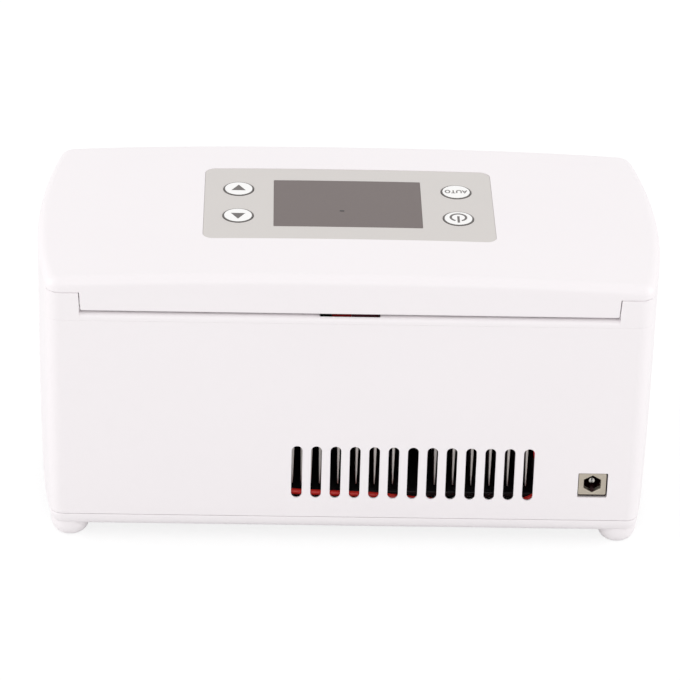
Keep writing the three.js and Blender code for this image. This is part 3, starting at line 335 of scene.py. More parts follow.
# Two close colours, a roughness and what differs from a plain moulding, for each material
FINISHES = {
    "case_white": ((248, 243, 245), (246, 241, 243), 0.36, {"cloud": 25, "bump": 0.05}),
    "button_white": ((252, 251, 250), (249, 248, 247), 0.3, {"cloud": 60}),
    "panel_grey": ((214, 209, 205), (211, 206, 203), 0.42, {"cloud": 50, "grain": 1600}),
    "window_dark": ((117, 107, 105), (113, 103, 101), 0.4, {"cloud": 20, "bump": 0.01, "specular": 0.3}),
    "black_plastic": ((26, 25, 27), (20, 19, 21), 0.48, {"grain": 1400, "bump": 0.12}),
    "aluminium": ((205, 200, 196), (190, 185, 181), 0.34,
                  {"spread": 0.08, "metallic": 1, "stretch": (1, 1, 0.04), "bump": 0.12}),
    "tray_metal": ((214, 213, 212), (205, 204, 203), 0.38,
                   {"spread": 0.1, "metallic": 1, "cloud": 120, "grain": 700, "bump": 0.1,
                    "stretch": (0.05, 1, 1)}),
    "steel": ((205, 203, 199), (190, 188, 184), 0.24, {"metallic": 1, "bump": 0.04}),
    "inlet_metal": ((196, 187, 172), (183, 174, 160), 0.4,
                    {"spread": 0.1, "metallic": 0.75, "cloud": 900, "bump": 0.1}),
    # The inlet body's near-black with a red tint: partly the body's own black, partly painted shade for the
    # dark gap around the inlet face
    "inlet_black": ((40, 15, 18), (32, 11, 14), 0.5, {"specular": 0.15}),
    "foam": ((233, 230, 222), (222, 219, 211), 0.9, {"cloud": 300, "grain": 500, "bump": 0.7, "sheen": 0.2}),
    "silicone": ((202, 202, 204), (194, 194, 196), 0.6, {"bump": 0.08}),
    "ceramic": ((240, 239, 232), (232, 231, 224), 0.5, {"cloud": 400, "bump": 0.1}),
    "board_green": ((28, 86, 52), (20, 70, 42), 0.4, {"cloud": 220, "bump": 0.15, "coat": 0.4}),
    "cell_sleeve": ((62, 108, 172), (54, 98, 160), 0.32, {"coat": 0.4}),
    # The leads' red is raised above their own colour to make up for the shade inside the vent slots: painted
    # light
    "red_lead": ((242, 52, 44), (228, 44, 38), 0.38, {"bump": 0.05}),
    "black_lead": ((27, 25, 25), (20, 18, 18), 0.4, {"bump": 0.05}),
    # Harness wires: the bright red is raised above the wires' own red as painted light for the shaded gap
    # under the lid's skirt, and the maroon is a darker copy of that red, painted shade on the same red wires
    "wire_red": ((205, 22, 26), (190, 16, 20), 0.5, {}),
    "wire_maroon": ((128, 62, 74), (118, 54, 66), 0.5, {}),
    "print_grey": ((112, 107, 105), (106, 101, 99), 0.5, {}),
    "skirt_grey": ((104, 99, 97), (96, 91, 89), 0.55, {"bump": 0.08}),
    "dot_dark": ((46, 42, 42), (38, 34, 34), 0.4, {}),
}
LOOKS = {
    name: surface(name, colour, other, roughness, **details)
    for name, (colour, other, roughness, details) in FINISHES.items()
}


# Meshes
@contextmanager
def editing(mesh):
    """Opens a mesh for bmesh's tools and writes it back."""
    work = bmesh.new()
    work.from_mesh(mesh)
    yield work
    work.to_mesh(mesh)
    work.free()


def linked(name, vertices, faces):
    """A closed mesh with its faces turned outwards."""
    mesh = bpy.data.meshes.new(name)
    mesh.from_pydata(vertices, [], faces)
    obj = bpy.data.objects.new(name, mesh)
    bpy.context.scene.collection.objects.link(obj)
    with editing(mesh) as work:
        bmesh.ops.remove_doubles(work, verts=work.verts, dist=WELD)
        bmesh.ops.recalc_face_normals(work, faces=work.faces)
    return obj


def walls(loops, count, ring_closed=False):
    """The faces between loops of points, and if the ring is closed, from the last loop to the first."""
    faces = []
    for r in range(loops if ring_closed else loops - 1):
        a, b = r * count, (r + 1) % loops * count
        for i in range(count):
            following = (i + 1) % count
            faces.append((a + i, a + following, b + following, b + i))
    return faces


def stacked(name, loops, ring_closed=False):
    """A body over loops of points with flat ends, or whose last loop runs into the first."""
    count = len(loops[0])
    last = (len(loops) - 1) * count
    faces = [] if ring_closed else [tuple(range(count)), tuple(range(last, last + count))]
    faces += walls(len(loops), count, ring_closed)
    return linked(name, [point for loop in loops for point in loop], faces)


def lofted(name, rings):
    """A skin over rings of points whose twins are mirrored in Y. Strips from twin to twin close its ends."""
    count = len(rings[0])
    faces = walls(len(rings), count)
    for start in (0, (len(rings) - 1) * count):
        for i in range(count // 2):
            corners = (i, i + 1, (count - i - 1) % count, (count - i) % count)
            faces.append(tuple(dict.fromkeys(start + corner for corner in corners)))
    return linked(name, [point for ring in rings for point in ring], faces)


def placed(axis, place, u, v):
    """A point at a place on an axis, and at u and v on the other two."""
    return {"x": (place, u, v), "y": (u, place, v), "z": (u, v, place)}[axis]


def along(name, axis, outline, levels):
    """A body along one axis: levels give places on the axis and how far the outline is grown there."""
    return stacked(name, [[placed(axis, place, u, v) for u, v in outline(by)] for place, by in levels])


def slab(name, axis, us, vs, corner, levels):
    """A body along one axis whose outline is a rectangle with round corners."""
    return along(name, axis, rounded(us, vs, corner), levels)


def pillar(name, centre, radius, low, high, axis="z", steps=CIRCLE_STEPS):
    """A round body from one place on an axis to another."""
    return along(name, axis, circle(*centre, radius, steps), straight(low, high))


def turned(name, profile, centre, axis="z", steps=CIRCLE_STEPS):
    """A body of revolution from a closed profile of radius and height."""
    vertices = []
    for radius, height in profile:
        for u, v in circle(0, 0, radius, steps)(0):
            vertices.append(tuple(Vector(centre) + Vector(placed(axis, height, u, v))))
    return linked(name, vertices, walls(len(profile), steps))


def arc(centre_u, centre_v, radius, start, end, steps):
    """Points of an arc, both ends among them."""
    points = []
    for i in range(steps + 1):
        angle = start + (end - start) * i / steps
        points.append((centre_u + radius * math.cos(angle), centre_v + radius * math.sin(angle)))
    return points


def rounded(xs, ys, radius, steps=CORNER_STEPS):
    """The outline of a rectangle with round corners, as a function of how far it is grown."""
    def outline(by):
        (x0, x1), (y0, y1) = grown(xs, by), grown(ys, by)
        r = max(radius + by, WELD)
        return [
            *arc(x1 - r, y0 + r, r, -QUARTER, 0, steps),
            *arc(x1 - r, y1 - r, r, 0, QUARTER, steps),
            *arc(x0 + r, y1 - r, r, QUARTER, 2 * QUARTER, steps),
            *arc(x0 + r, y0 + r, r, 2 * QUARTER, 3 * QUARTER, steps),
        ]
    return outline


def circle(x, y, radius, steps=CIRCLE_STEPS):
    return lambda by: arc(x, y, radius + by, 0, 2 * math.pi, steps)[:-1]


def grown(ends, by):
    return ends[0] - by, ends[1] + by


def around(centre, size):
    return centre - size / 2, centre + size / 2


def mirrored(side, near, far):
    """Two distances from the middle, on one side of it."""
    return sorted((side * near, side * far))


def straight(low, high, by=0):
    """The levels of a body with sharp ends."""
    return [(low, by), (high, by)]


def mouth(surface_at, inward, radius, steps=MOUTH_STEPS):
    """The first levels of a cutter: they round the edge where it enters a surface."""
    levels = [(surface_at - inward * OVERRUN, radius)]
    for i in range(steps + 1):
        angle = i / steps * QUARTER
        levels.append((surface_at + inward * radius * (1 - math.cos(angle)), radius * (1 - math.sin(angle))))
    return levels


def round_low(low, radius, by=0, steps=FILLET_STEPS):
    """The first levels of a body with a round lower edge."""
    levels = []
    for i in range(steps + 1):
        angle = i / steps * QUARTER
        levels.append((low + radius * (1 - math.cos(angle)), by - radius * (1 - math.sin(angle))))
    return levels


def solid_levels(low, high, edge_size, low_edge=None):
    """The levels of a body whose two end faces have round edges."""
    levels = round_low(low, edge_size if low_edge is None else low_edge, steps=EDGE_STEPS)
    upper = round_low(-high, edge_size, steps=EDGE_STEPS)
    return levels + [(-place, by) for place, by in reversed(upper)]


def applied(obj):
    """Makes the result of an object's modifiers its mesh."""
    bpy.context.view_layer.update()
    evaluated = obj.evaluated_get(bpy.context.evaluated_depsgraph_get())
    mesh = bpy.data.meshes.new_from_object(evaluated)
    obj.modifiers.clear()
    obj.data = mesh


def combined(body, operation, tools):
    """Cuts tools from a body, or joins them to it, and removes them."""
    for tool in tools:
        modifier = body.modifiers.new(operation, "BOOLEAN")
        modifier.operation = operation
        modifier.solver = "MANIFOLD"
        modifier.object = tool
    applied(body)
    for tool in tools:
        bpy.data.objects.remove(tool)
    return body


def cut(body, *tools):
    return combined(body, "DIFFERENCE", tools)


def joined(body, *tools):
    return combined(body, "UNION", tools)


def dressed(obj, look):
    """Scales a piece to metres and gives it its material and smooth shading."""
    obj.data.transform(Matrix.Scale(MM, 4))
    obj.data.materials.clear()
    obj.data.materials.append(LOOKS[look])
    obj.data.shade_smooth()


def finished(obj, body, slot, replaced=(), look=None, angle=SMOOTH_ANGLE):
    """Dresses a piece, keeps its true edges sharp, and ties it to its body."""
    dressed(obj, look or slot)
    obj.data.set_sharp_from_angle(angle=angle)
    weighted = obj.modifiers.new("weighted", "WEIGHTED_NORMAL")
    weighted.keep_sharp = True
    applied(obj)
    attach(obj, body)
    if replaced:
        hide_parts(*replaced)
    return obj


# The outline of the case
def case_outline(inset, side_steps=1):
    full_radius = (HALF_DEPTH ** 2 + END_BULGE ** 2) / (2 * END_BULGE)
    arc_centre = HALF_LENGTH - full_radius
    arc_radius = full_radius - inset
    corner = max(CORNER_RADIUS - inset, INNER_CORNER)
    corner_y = HALF_DEPTH - inset - corner
    corner_x = arc_centre + math.sqrt((arc_radius - corner) ** 2 - corner_y ** 2)
    tilt = math.atan2(corner_y, corner_x - arc_centre)
    quarter = arc(arc_centre, 0, arc_radius, 0, tilt, END_STEPS)[:-1]
    quarter += arc(corner_x, corner_y, corner, tilt, QUARTER, CORNER_STEPS)
    for i in range(1, side_steps + 1):
        quarter.append((corner_x * (1 - i / side_steps), HALF_DEPTH - inset))
    return four_way(quarter)


def four_way(quarter, centre=(0, 0)):
    """A whole outline from its quarter between the +X and +Y axes."""
    left = [(-x, y) for x, y in reversed(quarter[:-1])]
    half = quarter + left
    near = [(x, -y) for x, y in reversed(half[1:-1])]
    return [(centre[0] + x, centre[1] + y) for x, y in half + near]


def crown_fall(x):
    return CROWN_DROP * abs(x / HALF_LENGTH) ** CROWN_POWER


def case_rings(profile, side_steps=1):
    """Rings of the case's outline from points of inset, height and, if given, share of the crown."""
    rings = []
    for inset, height, *crown_share in profile:
        share = crown_share[0] if crown_share else 0
        ring = case_outline(inset, side_steps)
        rings.append([(x, y, height - share * crown_fall(x)) for x, y in ring])
    return rings


# The quarters of a turn that a round edge starts from
OUTSIDE_UP = 0
TOP_IN = 1
UNDERSIDE_OUT = 3


def edge(inset, height, radius, start, *crown_share, steps=EDGE_STEPS):
    """A quarter of a circle in a profile, whose corner lies at an inset and height."""
    centre_in = inset + (-radius if start == TOP_IN else radius)
    centre_high = height + (radius if start == UNDERSIDE_OUT else -radius)
    angle = start * QUARTER
    points = arc(centre_in, centre_high, radius, angle, angle + QUARTER, steps)
    return [(2 * centre_in - u, v, *crown_share) for u, v in points]


# Outer shell
VENT_COUNT = 13
VENT_WIDTH = 3.6
VENT_HEIGHT = 20.2
VENT_SPACING = 6.5
VENT_LOW = 12.9
VENT_EDGE = 0.25
GRILLE_THICKNESS = 1
GRILLE_MARGIN = 2
INLET_WIDTH = 10
INLET_HEIGHT = 9.5
INLET_LOW = 14.5
INLET_FROM_END = 16.6
INLET_TO_VENTS = 55.9
INLET_CORNER = 0.35
INLET_EDGE = 0.2
DRAFT_STEPS = 6
DRAFT_POWER = 1.5

inlet_right = HALF_LENGTH - INLET_FROM_END
inlet_xs = (inlet_right - INLET_WIDTH, inlet_right)
inlet_zs = (BODY_BOTTOM + INLET_LOW, BODY_BOTTOM + INLET_LOW + INLET_HEIGHT)
vent_centre = inlet_xs[0] - INLET_TO_VENTS
vent_zs = (BODY_BOTTOM + VENT_LOW, BODY_BOTTOM + VENT_LOW + VENT_HEIGHT)
vent_xs = [vent_centre + VENT_SPACING * (i - (VENT_COUNT - 1) / 2) for i in range(VENT_COUNT)]


def add_outer_shell():
    low, high = shell_low.z, PARTING - PARTING_LINE
    middle = (COVER_SEAM + PARTING) / 2
    profile = edge(BASE_DRAFT, low, SEAM_EDGE, UNDERSIDE_OUT)
    for i in range(1, DRAFT_STEPS + 1):
        share = i / DRAFT_STEPS
        profile.append((BASE_DRAFT * (1 - share) ** DRAFT_POWER, low + (middle - low) * share))
    profile += edge(0, high, PARTING_EDGE, OUTSIDE_UP)
    inner = WALL + BASE_DRAFT
    profile += [(inner, high), (inner, low)]
    shell = stacked("outer_shell_fine", case_rings(profile), ring_closed=True)
    through = REAR + inner + OVERRUN
    cutters = []
    levels = [*mouth(REAR, 1, VENT_EDGE), (through, 0)]
    for x in vent_xs:
        cutters.append(slab("slot", "y", around(x, VENT_WIDTH), vent_zs, VENT_WIDTH / 2, levels))
    levels = [*mouth(REAR, 1, INLET_EDGE), (through, 0)]
    cutters.append(slab("opening", "y", inlet_xs, inlet_zs, INLET_CORNER, levels))
    levels = straight(REAR + GRILLE_THICKNESS, through)
    thinned_xs = grown((vent_xs[0], vent_xs[-1]), VENT_WIDTH / 2 + GRILLE_MARGIN)
    cutters.append(slab("thinned", "y", thinned_xs, grown(vent_zs, GRILLE_MARGIN), VENT_WIDTH, levels))
    finished(cut(shell, *cutters), "case", "case_white", ["outer_shell"])


# Bottom cover and feet
LIP_HEIGHT = 2
LIP_THICKNESS = 1.4
FOOT_RADIUS = 6.6
FOOT_FROM_END = 11.8
FOOT_FROM_FACE = 8.5
FOOT_ROUND = 3.2
FOOT_ROUND_HEIGHT = 5
FOOT_SUNK = 1.3
INTAKE_COUNT = 9
INTAKE_WIDTH = 2.6
INTAKE_SPACING = 8.8
INTAKE_FROM_FRONT = 9
INTAKE_LENGTH = 30
INTAKE_EDGE = 0.4
BOSS_RADIUS = 4.4

LIP_INSET = WALL + BASE_DRAFT + FIT
LIP_INNER = LIP_INSET + LIP_THICKNESS
foot_x = HALF_LENGTH - FOOT_FROM_END
foot_y = HALF_DEPTH - FOOT_FROM_FACE
CORNERS = {
    "rear_left": (-foot_x, -foot_y),
    "rear_right": (foot_x, -foot_y),
    "front_right": (foot_x, foot_y),
    "front_left": (-foot_x, foot_y),
}


def add_bottom_cover():
    lip_top = COVER_SEAM + LIP_HEIGHT
    floor = BODY_BOTTOM + WALL
    profile = edge(BASE_DRAFT, BODY_BOTTOM, BASE_FILLET, UNDERSIDE_OUT, steps=FILLET_STEPS)
    profile += edge(BASE_DRAFT, COVER_SEAM, SEAM_EDGE, OUTSIDE_UP)
    profile += [(LIP_INSET, COVER_SEAM), (LIP_INSET, lip_top), (LIP_INNER, lip_top), (LIP_INNER, floor)]
    cover = lofted("bottom_cover_fine", case_rings(profile))
    bosses, holes = [], []
    foot_seat = BODY_BOTTOM + FOOT_SUNK + CLOSE_FIT
    for place in CORNERS.values():
        bosses.append(pillar("boss", place, BOSS_RADIUS, floor - FIT, BOSS_TOP))
        holes.append(pillar("pocket", place, FOOT_RADIUS + FIT, BODY_BOTTOM - OVERRUN, foot_seat))
        holes.append(pillar("bore", place, SCREW_HEAD_RADIUS + FIT, BODY_BOTTOM, SCREW_HEAD_TOP))
        holes.append(pillar("shank", place, SCREW_SHANK_RADIUS + FIT, BODY_BOTTOM, BOSS_TOP + OVERRUN))
    intake_ys = (FRONT - INTAKE_FROM_FRONT - INTAKE_LENGTH, FRONT - INTAKE_FROM_FRONT)
    levels = [*mouth(BODY_BOTTOM, 1, INTAKE_EDGE), (floor + OVERRUN, 0)]
    for i in range(INTAKE_COUNT):
        x = vent_centre + INTAKE_SPACING * (i - (INTAKE_COUNT - 1) / 2)
        holes.append(slab("intake", "z", around(x, INTAKE_WIDTH), intake_ys, INTAKE_WIDTH / 3, levels))
    finished(cut(joined(cover, *bosses), *holes), "case", "case_white", ["bottom_cover"])


def add_feet():
    top = BODY_BOTTOM + FOOT_SUNK
    profile = [(0, 0)]
    for u, v in arc(0, 1, 1, -QUARTER, 0, FILLET_STEPS):
        profile.append((FOOT_RADIUS - FOOT_ROUND * (1 - u), FOOT_ROUND_HEIGHT * v))
    profile += [(FOOT_RADIUS, top), (0, top)]
    for name, place in CORNERS.items():
        foot = turned(f"foot_{name}_fine", profile, (*place, 0))
        finished(foot, "case", "case_white", [f"foot_{name}"])


# Case screws, pulled up into the frame's posts
screw_low, screw_high = span("case_screw_rear_left")
SCREW_HEAD_RADIUS = 2.8
SCREW_HEAD_HEIGHT = 2
SCREW_SHANK_RADIUS = 1.4
SCREW_EDGE = 0.4
SCREW_CROSS = 0.9
SCREW_CROSS_DEPTH = 1.1
SCREW_CROSS_REACH = 1.7
SCREW_PITCH = 1
SCREW_THREAD = 0.22
SCREW_HEAD_TOP = screw_low.z + SCREW_HEAD_HEIGHT + CLOSE_FIT
BOSS_TOP = cover_high.z


def add_screws():
    low, high = screw_low.z, screw_high.z
    head_top = low + SCREW_HEAD_HEIGHT
    root = SCREW_SHANK_RADIUS - SCREW_THREAD
    profile = [(0, low), (SCREW_HEAD_RADIUS - SCREW_EDGE, low)]
    profile += [(SCREW_HEAD_RADIUS, low + SCREW_EDGE), (SCREW_HEAD_RADIUS, head_top), (root, head_top)]
    turns = int((high - head_top) / SCREW_PITCH) - 1
    for i in range(turns):
        start = head_top + SCREW_PITCH * i
        profile += [(root, start + SCREW_PITCH / 4), (SCREW_SHANK_RADIUS, start + SCREW_PITCH / 2)]
        profile += [(root, start + SCREW_PITCH * 3 / 4)]
    profile += [(root, high - SCREW_EDGE), (root - SCREW_EDGE, high), (0, high)]
    half_cross = SCREW_CROSS / 2
    recess_levels = straight(low - OVERRUN, low + SCREW_CROSS_DEPTH)
    for name, (x, y) in CORNERS.items():
        screw = turned(f"case_screw_{name}_fine", profile, (x, y, 0), steps=CIRCLE_STEPS // 2)
        recesses = []
        for reach_x, reach_y in ((SCREW_CROSS_REACH, half_cross), (half_cross, SCREW_CROSS_REACH)):
            xs, ys = grown((x, x), reach_x), grown((y, y), reach_y)
            recesses.append(slab("recess", "z", xs, ys, SCREW_EDGE / 2, recess_levels))
        finished(cut(screw, *recesses), "case", "steel", [f"case_screw_{name}"])


# Top frame: rim, deck, hinge notch and ears
RIM_HEIGHT = 2.58
NOTCH_DEPTH = 5.1
NOTCH_WALL = 2.2
RIM_ROUND = 1.8
EAR_ROUND = 1
EAR_LENGTH = 7.8
EAR_EDGE = 0.25
DECK_THICKNESS = 2.4
SKIRT_END_MARGIN = 16
SKIRT_TAPER = 0.4
SKIRT_GAP = 0.22
SKIRT_EDGE = 0.55
KNUCKLE_LENGTH = 8.6
KNUCKLE_DEPTH = 4.1
KNUCKLE_EDGE = 0.4
CABLE_HALF_WIDTH = 9.7
CABLE_SLOT_FROM = 0.9
CABLE_SLOT_TO = 7.1
SCOOP_RADIUS = 30
SCOOP_DEPTH = 2
SCOOP_PAD = 2
SCOOP_HALF_WIDTH = 14
SCREW_POST_RADIUS = 4

rim_top = PARTING + RIM_HEIGHT
notch_front = REAR + NOTCH_DEPTH
skirt_reach = HALF_LENGTH - SKIRT_END_MARGIN
pin_low, pin_high = span("hinge_pin_right")
pin_y = (pin_low.y + pin_high.y) / 2
pin_z = (pin_low.z + pin_high.z) / 2
pin_radius = (pin_high.z - pin_low.z) / 2
magnet_low, magnet_high = span("frame_magnet")
magnet_y = (magnet_low.y + magnet_high.y) / 2
magnet_radius = (magnet_high.x - magnet_low.x) / 2
TRAY_FLANGE = 4
TRAY_WALL = 1.2
TRAY_CORNER = 5
tray_xs = (tray_low.x + TRAY_FLANGE, tray_high.x - TRAY_FLANGE)
tray_ys = (tray_low.y + TRAY_FLANGE, tray_high.y - TRAY_FLANGE)
tray_outline = rounded(tray_xs, tray_ys, TRAY_CORNER)
cable_xs = grown((-CABLE_HALF_WIDTH, CABLE_HALF_WIDTH), FIT)


def skirt_width(z):
    return skirt_reach - (LID_SEAM - z) * SKIRT_TAPER / (LID_SEAM - SKIRT_BOTTOM)


def notch_outline(by):
    """The notch seen from the rear. Its floor stays, so that only its upright sides are grown."""
    top = LID_SEAM + OVERRUN
    low_reach = skirt_width(rim_top) + SKIRT_GAP + by
    high_reach = skirt_width(top) + SKIRT_GAP + by
    return [(-low_reach, rim_top), (low_reach, rim_top), (high_reach, top), (-high_reach, top)]


def edge_round(edge_y, edge_z, radius):
    """A cutter's outline in Y and Z that rounds an upper rear edge."""
    centre_y, centre_z = edge_y + radius, edge_z - radius
    points = arc(centre_y, centre_z, radius, 2 * QUARTER, QUARTER, FILLET_STEPS)
    beyond_y, beyond_z = edge_y - OVERRUN, edge_z + OVERRUN
    points += [(centre_y, beyond_z), (beyond_y, beyond_z), (beyond_y, centre_z)]
    return lambda by: points


def add_top_frame():
    deck_bottom = DECK_TOP - DECK_THICKNESS
    above_deck = DECK_TOP + OVERRUN
    lip_bottom = PARTING - LIP_HEIGHT
    profile = [(LIP_INNER, deck_bottom), (LIP_INNER, lip_bottom)]
    profile += [(LIP_INSET, lip_bottom), (LIP_INSET, PARTING)]
    profile += edge(0, PARTING, PARTING_EDGE, UNDERSIDE_OUT)
    profile += edge(0, FRAME_TOP, SEAM_EDGE, OUTSIDE_UP)
    profile += edge(WALL, FRAME_TOP, SEAM_EDGE, TOP_IN)
    profile += [(WALL, DECK_TOP)]
    body = lofted("top_frame_fine", case_rings(profile))

    block_reach = skirt_reach + EAR_LENGTH
    block_ys = (REAR + WALL / 2, notch_front + NOTCH_WALL)
    block_levels = straight(PARTING, DECK_TOP - CLOSE_FIT)
    pieces = [slab("block", "z", (-block_reach, block_reach), block_ys, WALL, block_levels)]
    ear_levels = solid_levels(DECK_TOP - WALL, FRAME_TOP, SEAM_EDGE)
    for side in (-1, 1):
        ear_xs = mirrored(side, skirt_reach - WALL, block_reach)
        pieces.append(slab("ear", "z", ear_xs, block_ys, WALL / 2, ear_levels))
    inside = lofted("inside", case_rings([(FINE_EDGE, PARTING - OVERRUN), (FINE_EDGE, LID_TOP)]))
    for piece in pieces:
        keeper = inside.copy()
        bpy.context.scene.collection.objects.link(keeper)
        combined(piece, "INTERSECT", [keeper])
    bpy.data.objects.remove(inside)
    pad_ys = (FRONT - WALL - SCOOP_PAD, FRONT - WALL / 2)
    pad_levels = solid_levels(deck_bottom, FRAME_TOP, SEAM_EDGE)
    pieces.append(slab("pad", "z", around(0, 2 * SCOOP_HALF_WIDTH), pad_ys, SCOOP_PAD / 2, pad_levels))
    holes = []
    for place in CORNERS.values():
        pieces.append(pillar("post", place, SCREW_POST_RADIUS, frame_low.z, DECK_TOP - FIT))
        pilot_ends = (frame_low.z - OVERRUN, screw_high.z + OVERRUN)
        holes.append(pillar("pilot", place, SCREW_SHANK_RADIUS + CLOSE_FIT, *pilot_ends))
    body = joined(body, *pieces)

    holes.append(along("notch", "y", notch_outline, [*mouth(REAR, 1, EAR_EDGE), (notch_front, 0)]))
    rear_edges = {
        "rim": (edge_round(REAR, rim_top, RIM_ROUND), skirt_reach),
        "crest": (edge_round(notch_front, DECK_TOP, NOTCH_WALL / 2), skirt_reach - WALL),
        "ear": (edge_round(REAR, FRAME_TOP, EAR_ROUND), HALF_LENGTH),
    }
    for name, (outline, reach) in rear_edges.items():
        holes.append(along(name, "x", outline, straight(-reach, reach)))
    below = lip_bottom - OVERRUN
    holes.append(along("well", "z", tray_outline, straight(below, above_deck, TRAY_WALL + FIT)))
    seat = DECK_TOP - TRAY_WALL - CLOSE_FIT
    holes.append(along("rebate", "z", tray_outline, straight(seat, above_deck, TRAY_FLANGE + FIT)))
    cable_ys = (REAR + CABLE_SLOT_FROM, REAR + CABLE_SLOT_TO)
    holes.append(slab("cable", "z", cable_xs, cable_ys, FIT, straight(below, above_deck)))
    magnet_hole = magnet_radius + CLOSE_FIT
    holes.append(pillar("magnet", (0, magnet_y), magnet_hole, magnet_low.z - CLOSE_FIT, above_deck))
    scoop_centre = FRONT + SCOOP_RADIUS - SCOOP_DEPTH
    ball = arc(0, 0, SCOOP_RADIUS, -QUARTER, QUARTER, CIRCLE_STEPS)
    holes.append(turned("scoop", ball, (0, scoop_centre, FRAME_TOP), steps=3 * CIRCLE_STEPS))
    for side in (-1, 1):
        ends = mirrored(side, skirt_reach - OVERRUN, pin_high.x + FIT)
        holes.append(pin_bore(pin_radius + CLOSE_FIT, ends))
    finished(cut(body, *holes), "case", "case_white", ["top_frame"])


def pin_bore(radius, ends):
    return pillar("pin", (pin_y, pin_z), radius, *ends, axis="x", steps=CIRCLE_STEPS // 2)


def add_hinge_pins():
    edge_size = pin_radius / 3
    for name in ("left", "right"):
        low, high = span(f"hinge_pin_{name}")
        profile = [
            (0, low.x), (pin_radius - edge_size, low.x), (pin_radius, low.x + edge_size),
            (pin_radius, high.x - edge_size), (pin_radius - edge_size, high.x), (0, high.x),
        ]
        pin = turned(f"hinge_pin_{name}_fine", profile, (0, pin_y, pin_z), "x", CIRCLE_STEPS // 2)
        finished(pin, "case", "steel", [f"hinge_pin_{name}"])


def add_magnets():
    for node, body in (("frame_magnet", "case"), ("lid_magnet", "lid")):
        low, high = span(node)
        middle = (low + high) / 2
        disc = circle(middle.x, middle.y, (high.x - low.x) / 2)
        magnet = along(f"{node}_fine", "z", disc, solid_levels(low.z, high.z, FIT))
        finished(magnet, body, "steel", [node])


# Cold tray
TRAY_FLOOR_ROUND = 2.4
TRAY_LIP_ROUND = 0.8


def add_cold_tray():
    underside = tray_low.z
    outer = [*round_low(underside, TRAY_FLOOR_ROUND + TRAY_WALL, TRAY_WALL), (DECK_TOP, TRAY_WALL)]
    tray = along("cold_tray_fine", "z", tray_outline, outer)
    flange_levels = solid_levels(DECK_TOP - TRAY_WALL, DECK_TOP, FIT)
    flange = along("flange", "z", tray_outline, [(z, TRAY_FLANGE + by) for z, by in flange_levels])
    lip = reversed(mouth(DECK_TOP, -1, TRAY_LIP_ROUND, FILLET_STEPS))
    hollow = along("hollow", "z", tray_outline, [*round_low(underside + TRAY_WALL, TRAY_FLOOR_ROUND), *lip])
    finished(cut(joined(tray, flange), hollow), "case", "aluminium", ["cold_tray"], "tray_metal")


# Lid shell
PANEL_CORNER = 3.5
PANEL_THICKNESS = 1.5
PANEL_SUNK = 0.1
PANEL_LEDGE = 3
PANEL_EDGE = 0.12
PANEL_LINE = 0.04
DISPLAY_POST_RADIUS = 2
DISPLAY_POST_INSET = 3.2

panel_xs = (panel_low.x, panel_high.x)
panel_ys = (panel_low.y, panel_high.y)
board_low, board_high = span("display_board")


def rounded_quarter(half_x, half_y, radius, side_steps):
    quarter = [(half_x, 0)]
    quarter += arc(half_x - radius, half_y - radius, radius, 0, QUARTER, CORNER_STEPS)
    for i in range(1, side_steps + 1):
        quarter.append(((half_x - radius) * (1 - i / side_steps), half_y))
    return quarter


def crowned_rings(xs, ys, radius, profile):
    """Rings of a round-cornered rectangle from points of inset and height under the lid's top."""
    centre = ((xs[0] + xs[1]) / 2, (ys[0] + ys[1]) / 2)
    rings = []
    for inset, below in profile:
        half_x, half_y = xs[1] - centre[0] - inset, ys[1] - centre[1] - inset
        quarter = rounded_quarter(half_x, half_y, max(radius - inset, PANEL_EDGE), SIDE_STEPS)
        ring = four_way(quarter, centre)
        rings.append([(x, y, LID_TOP - crown_fall(x) - below) for x, y in ring])
    return rings


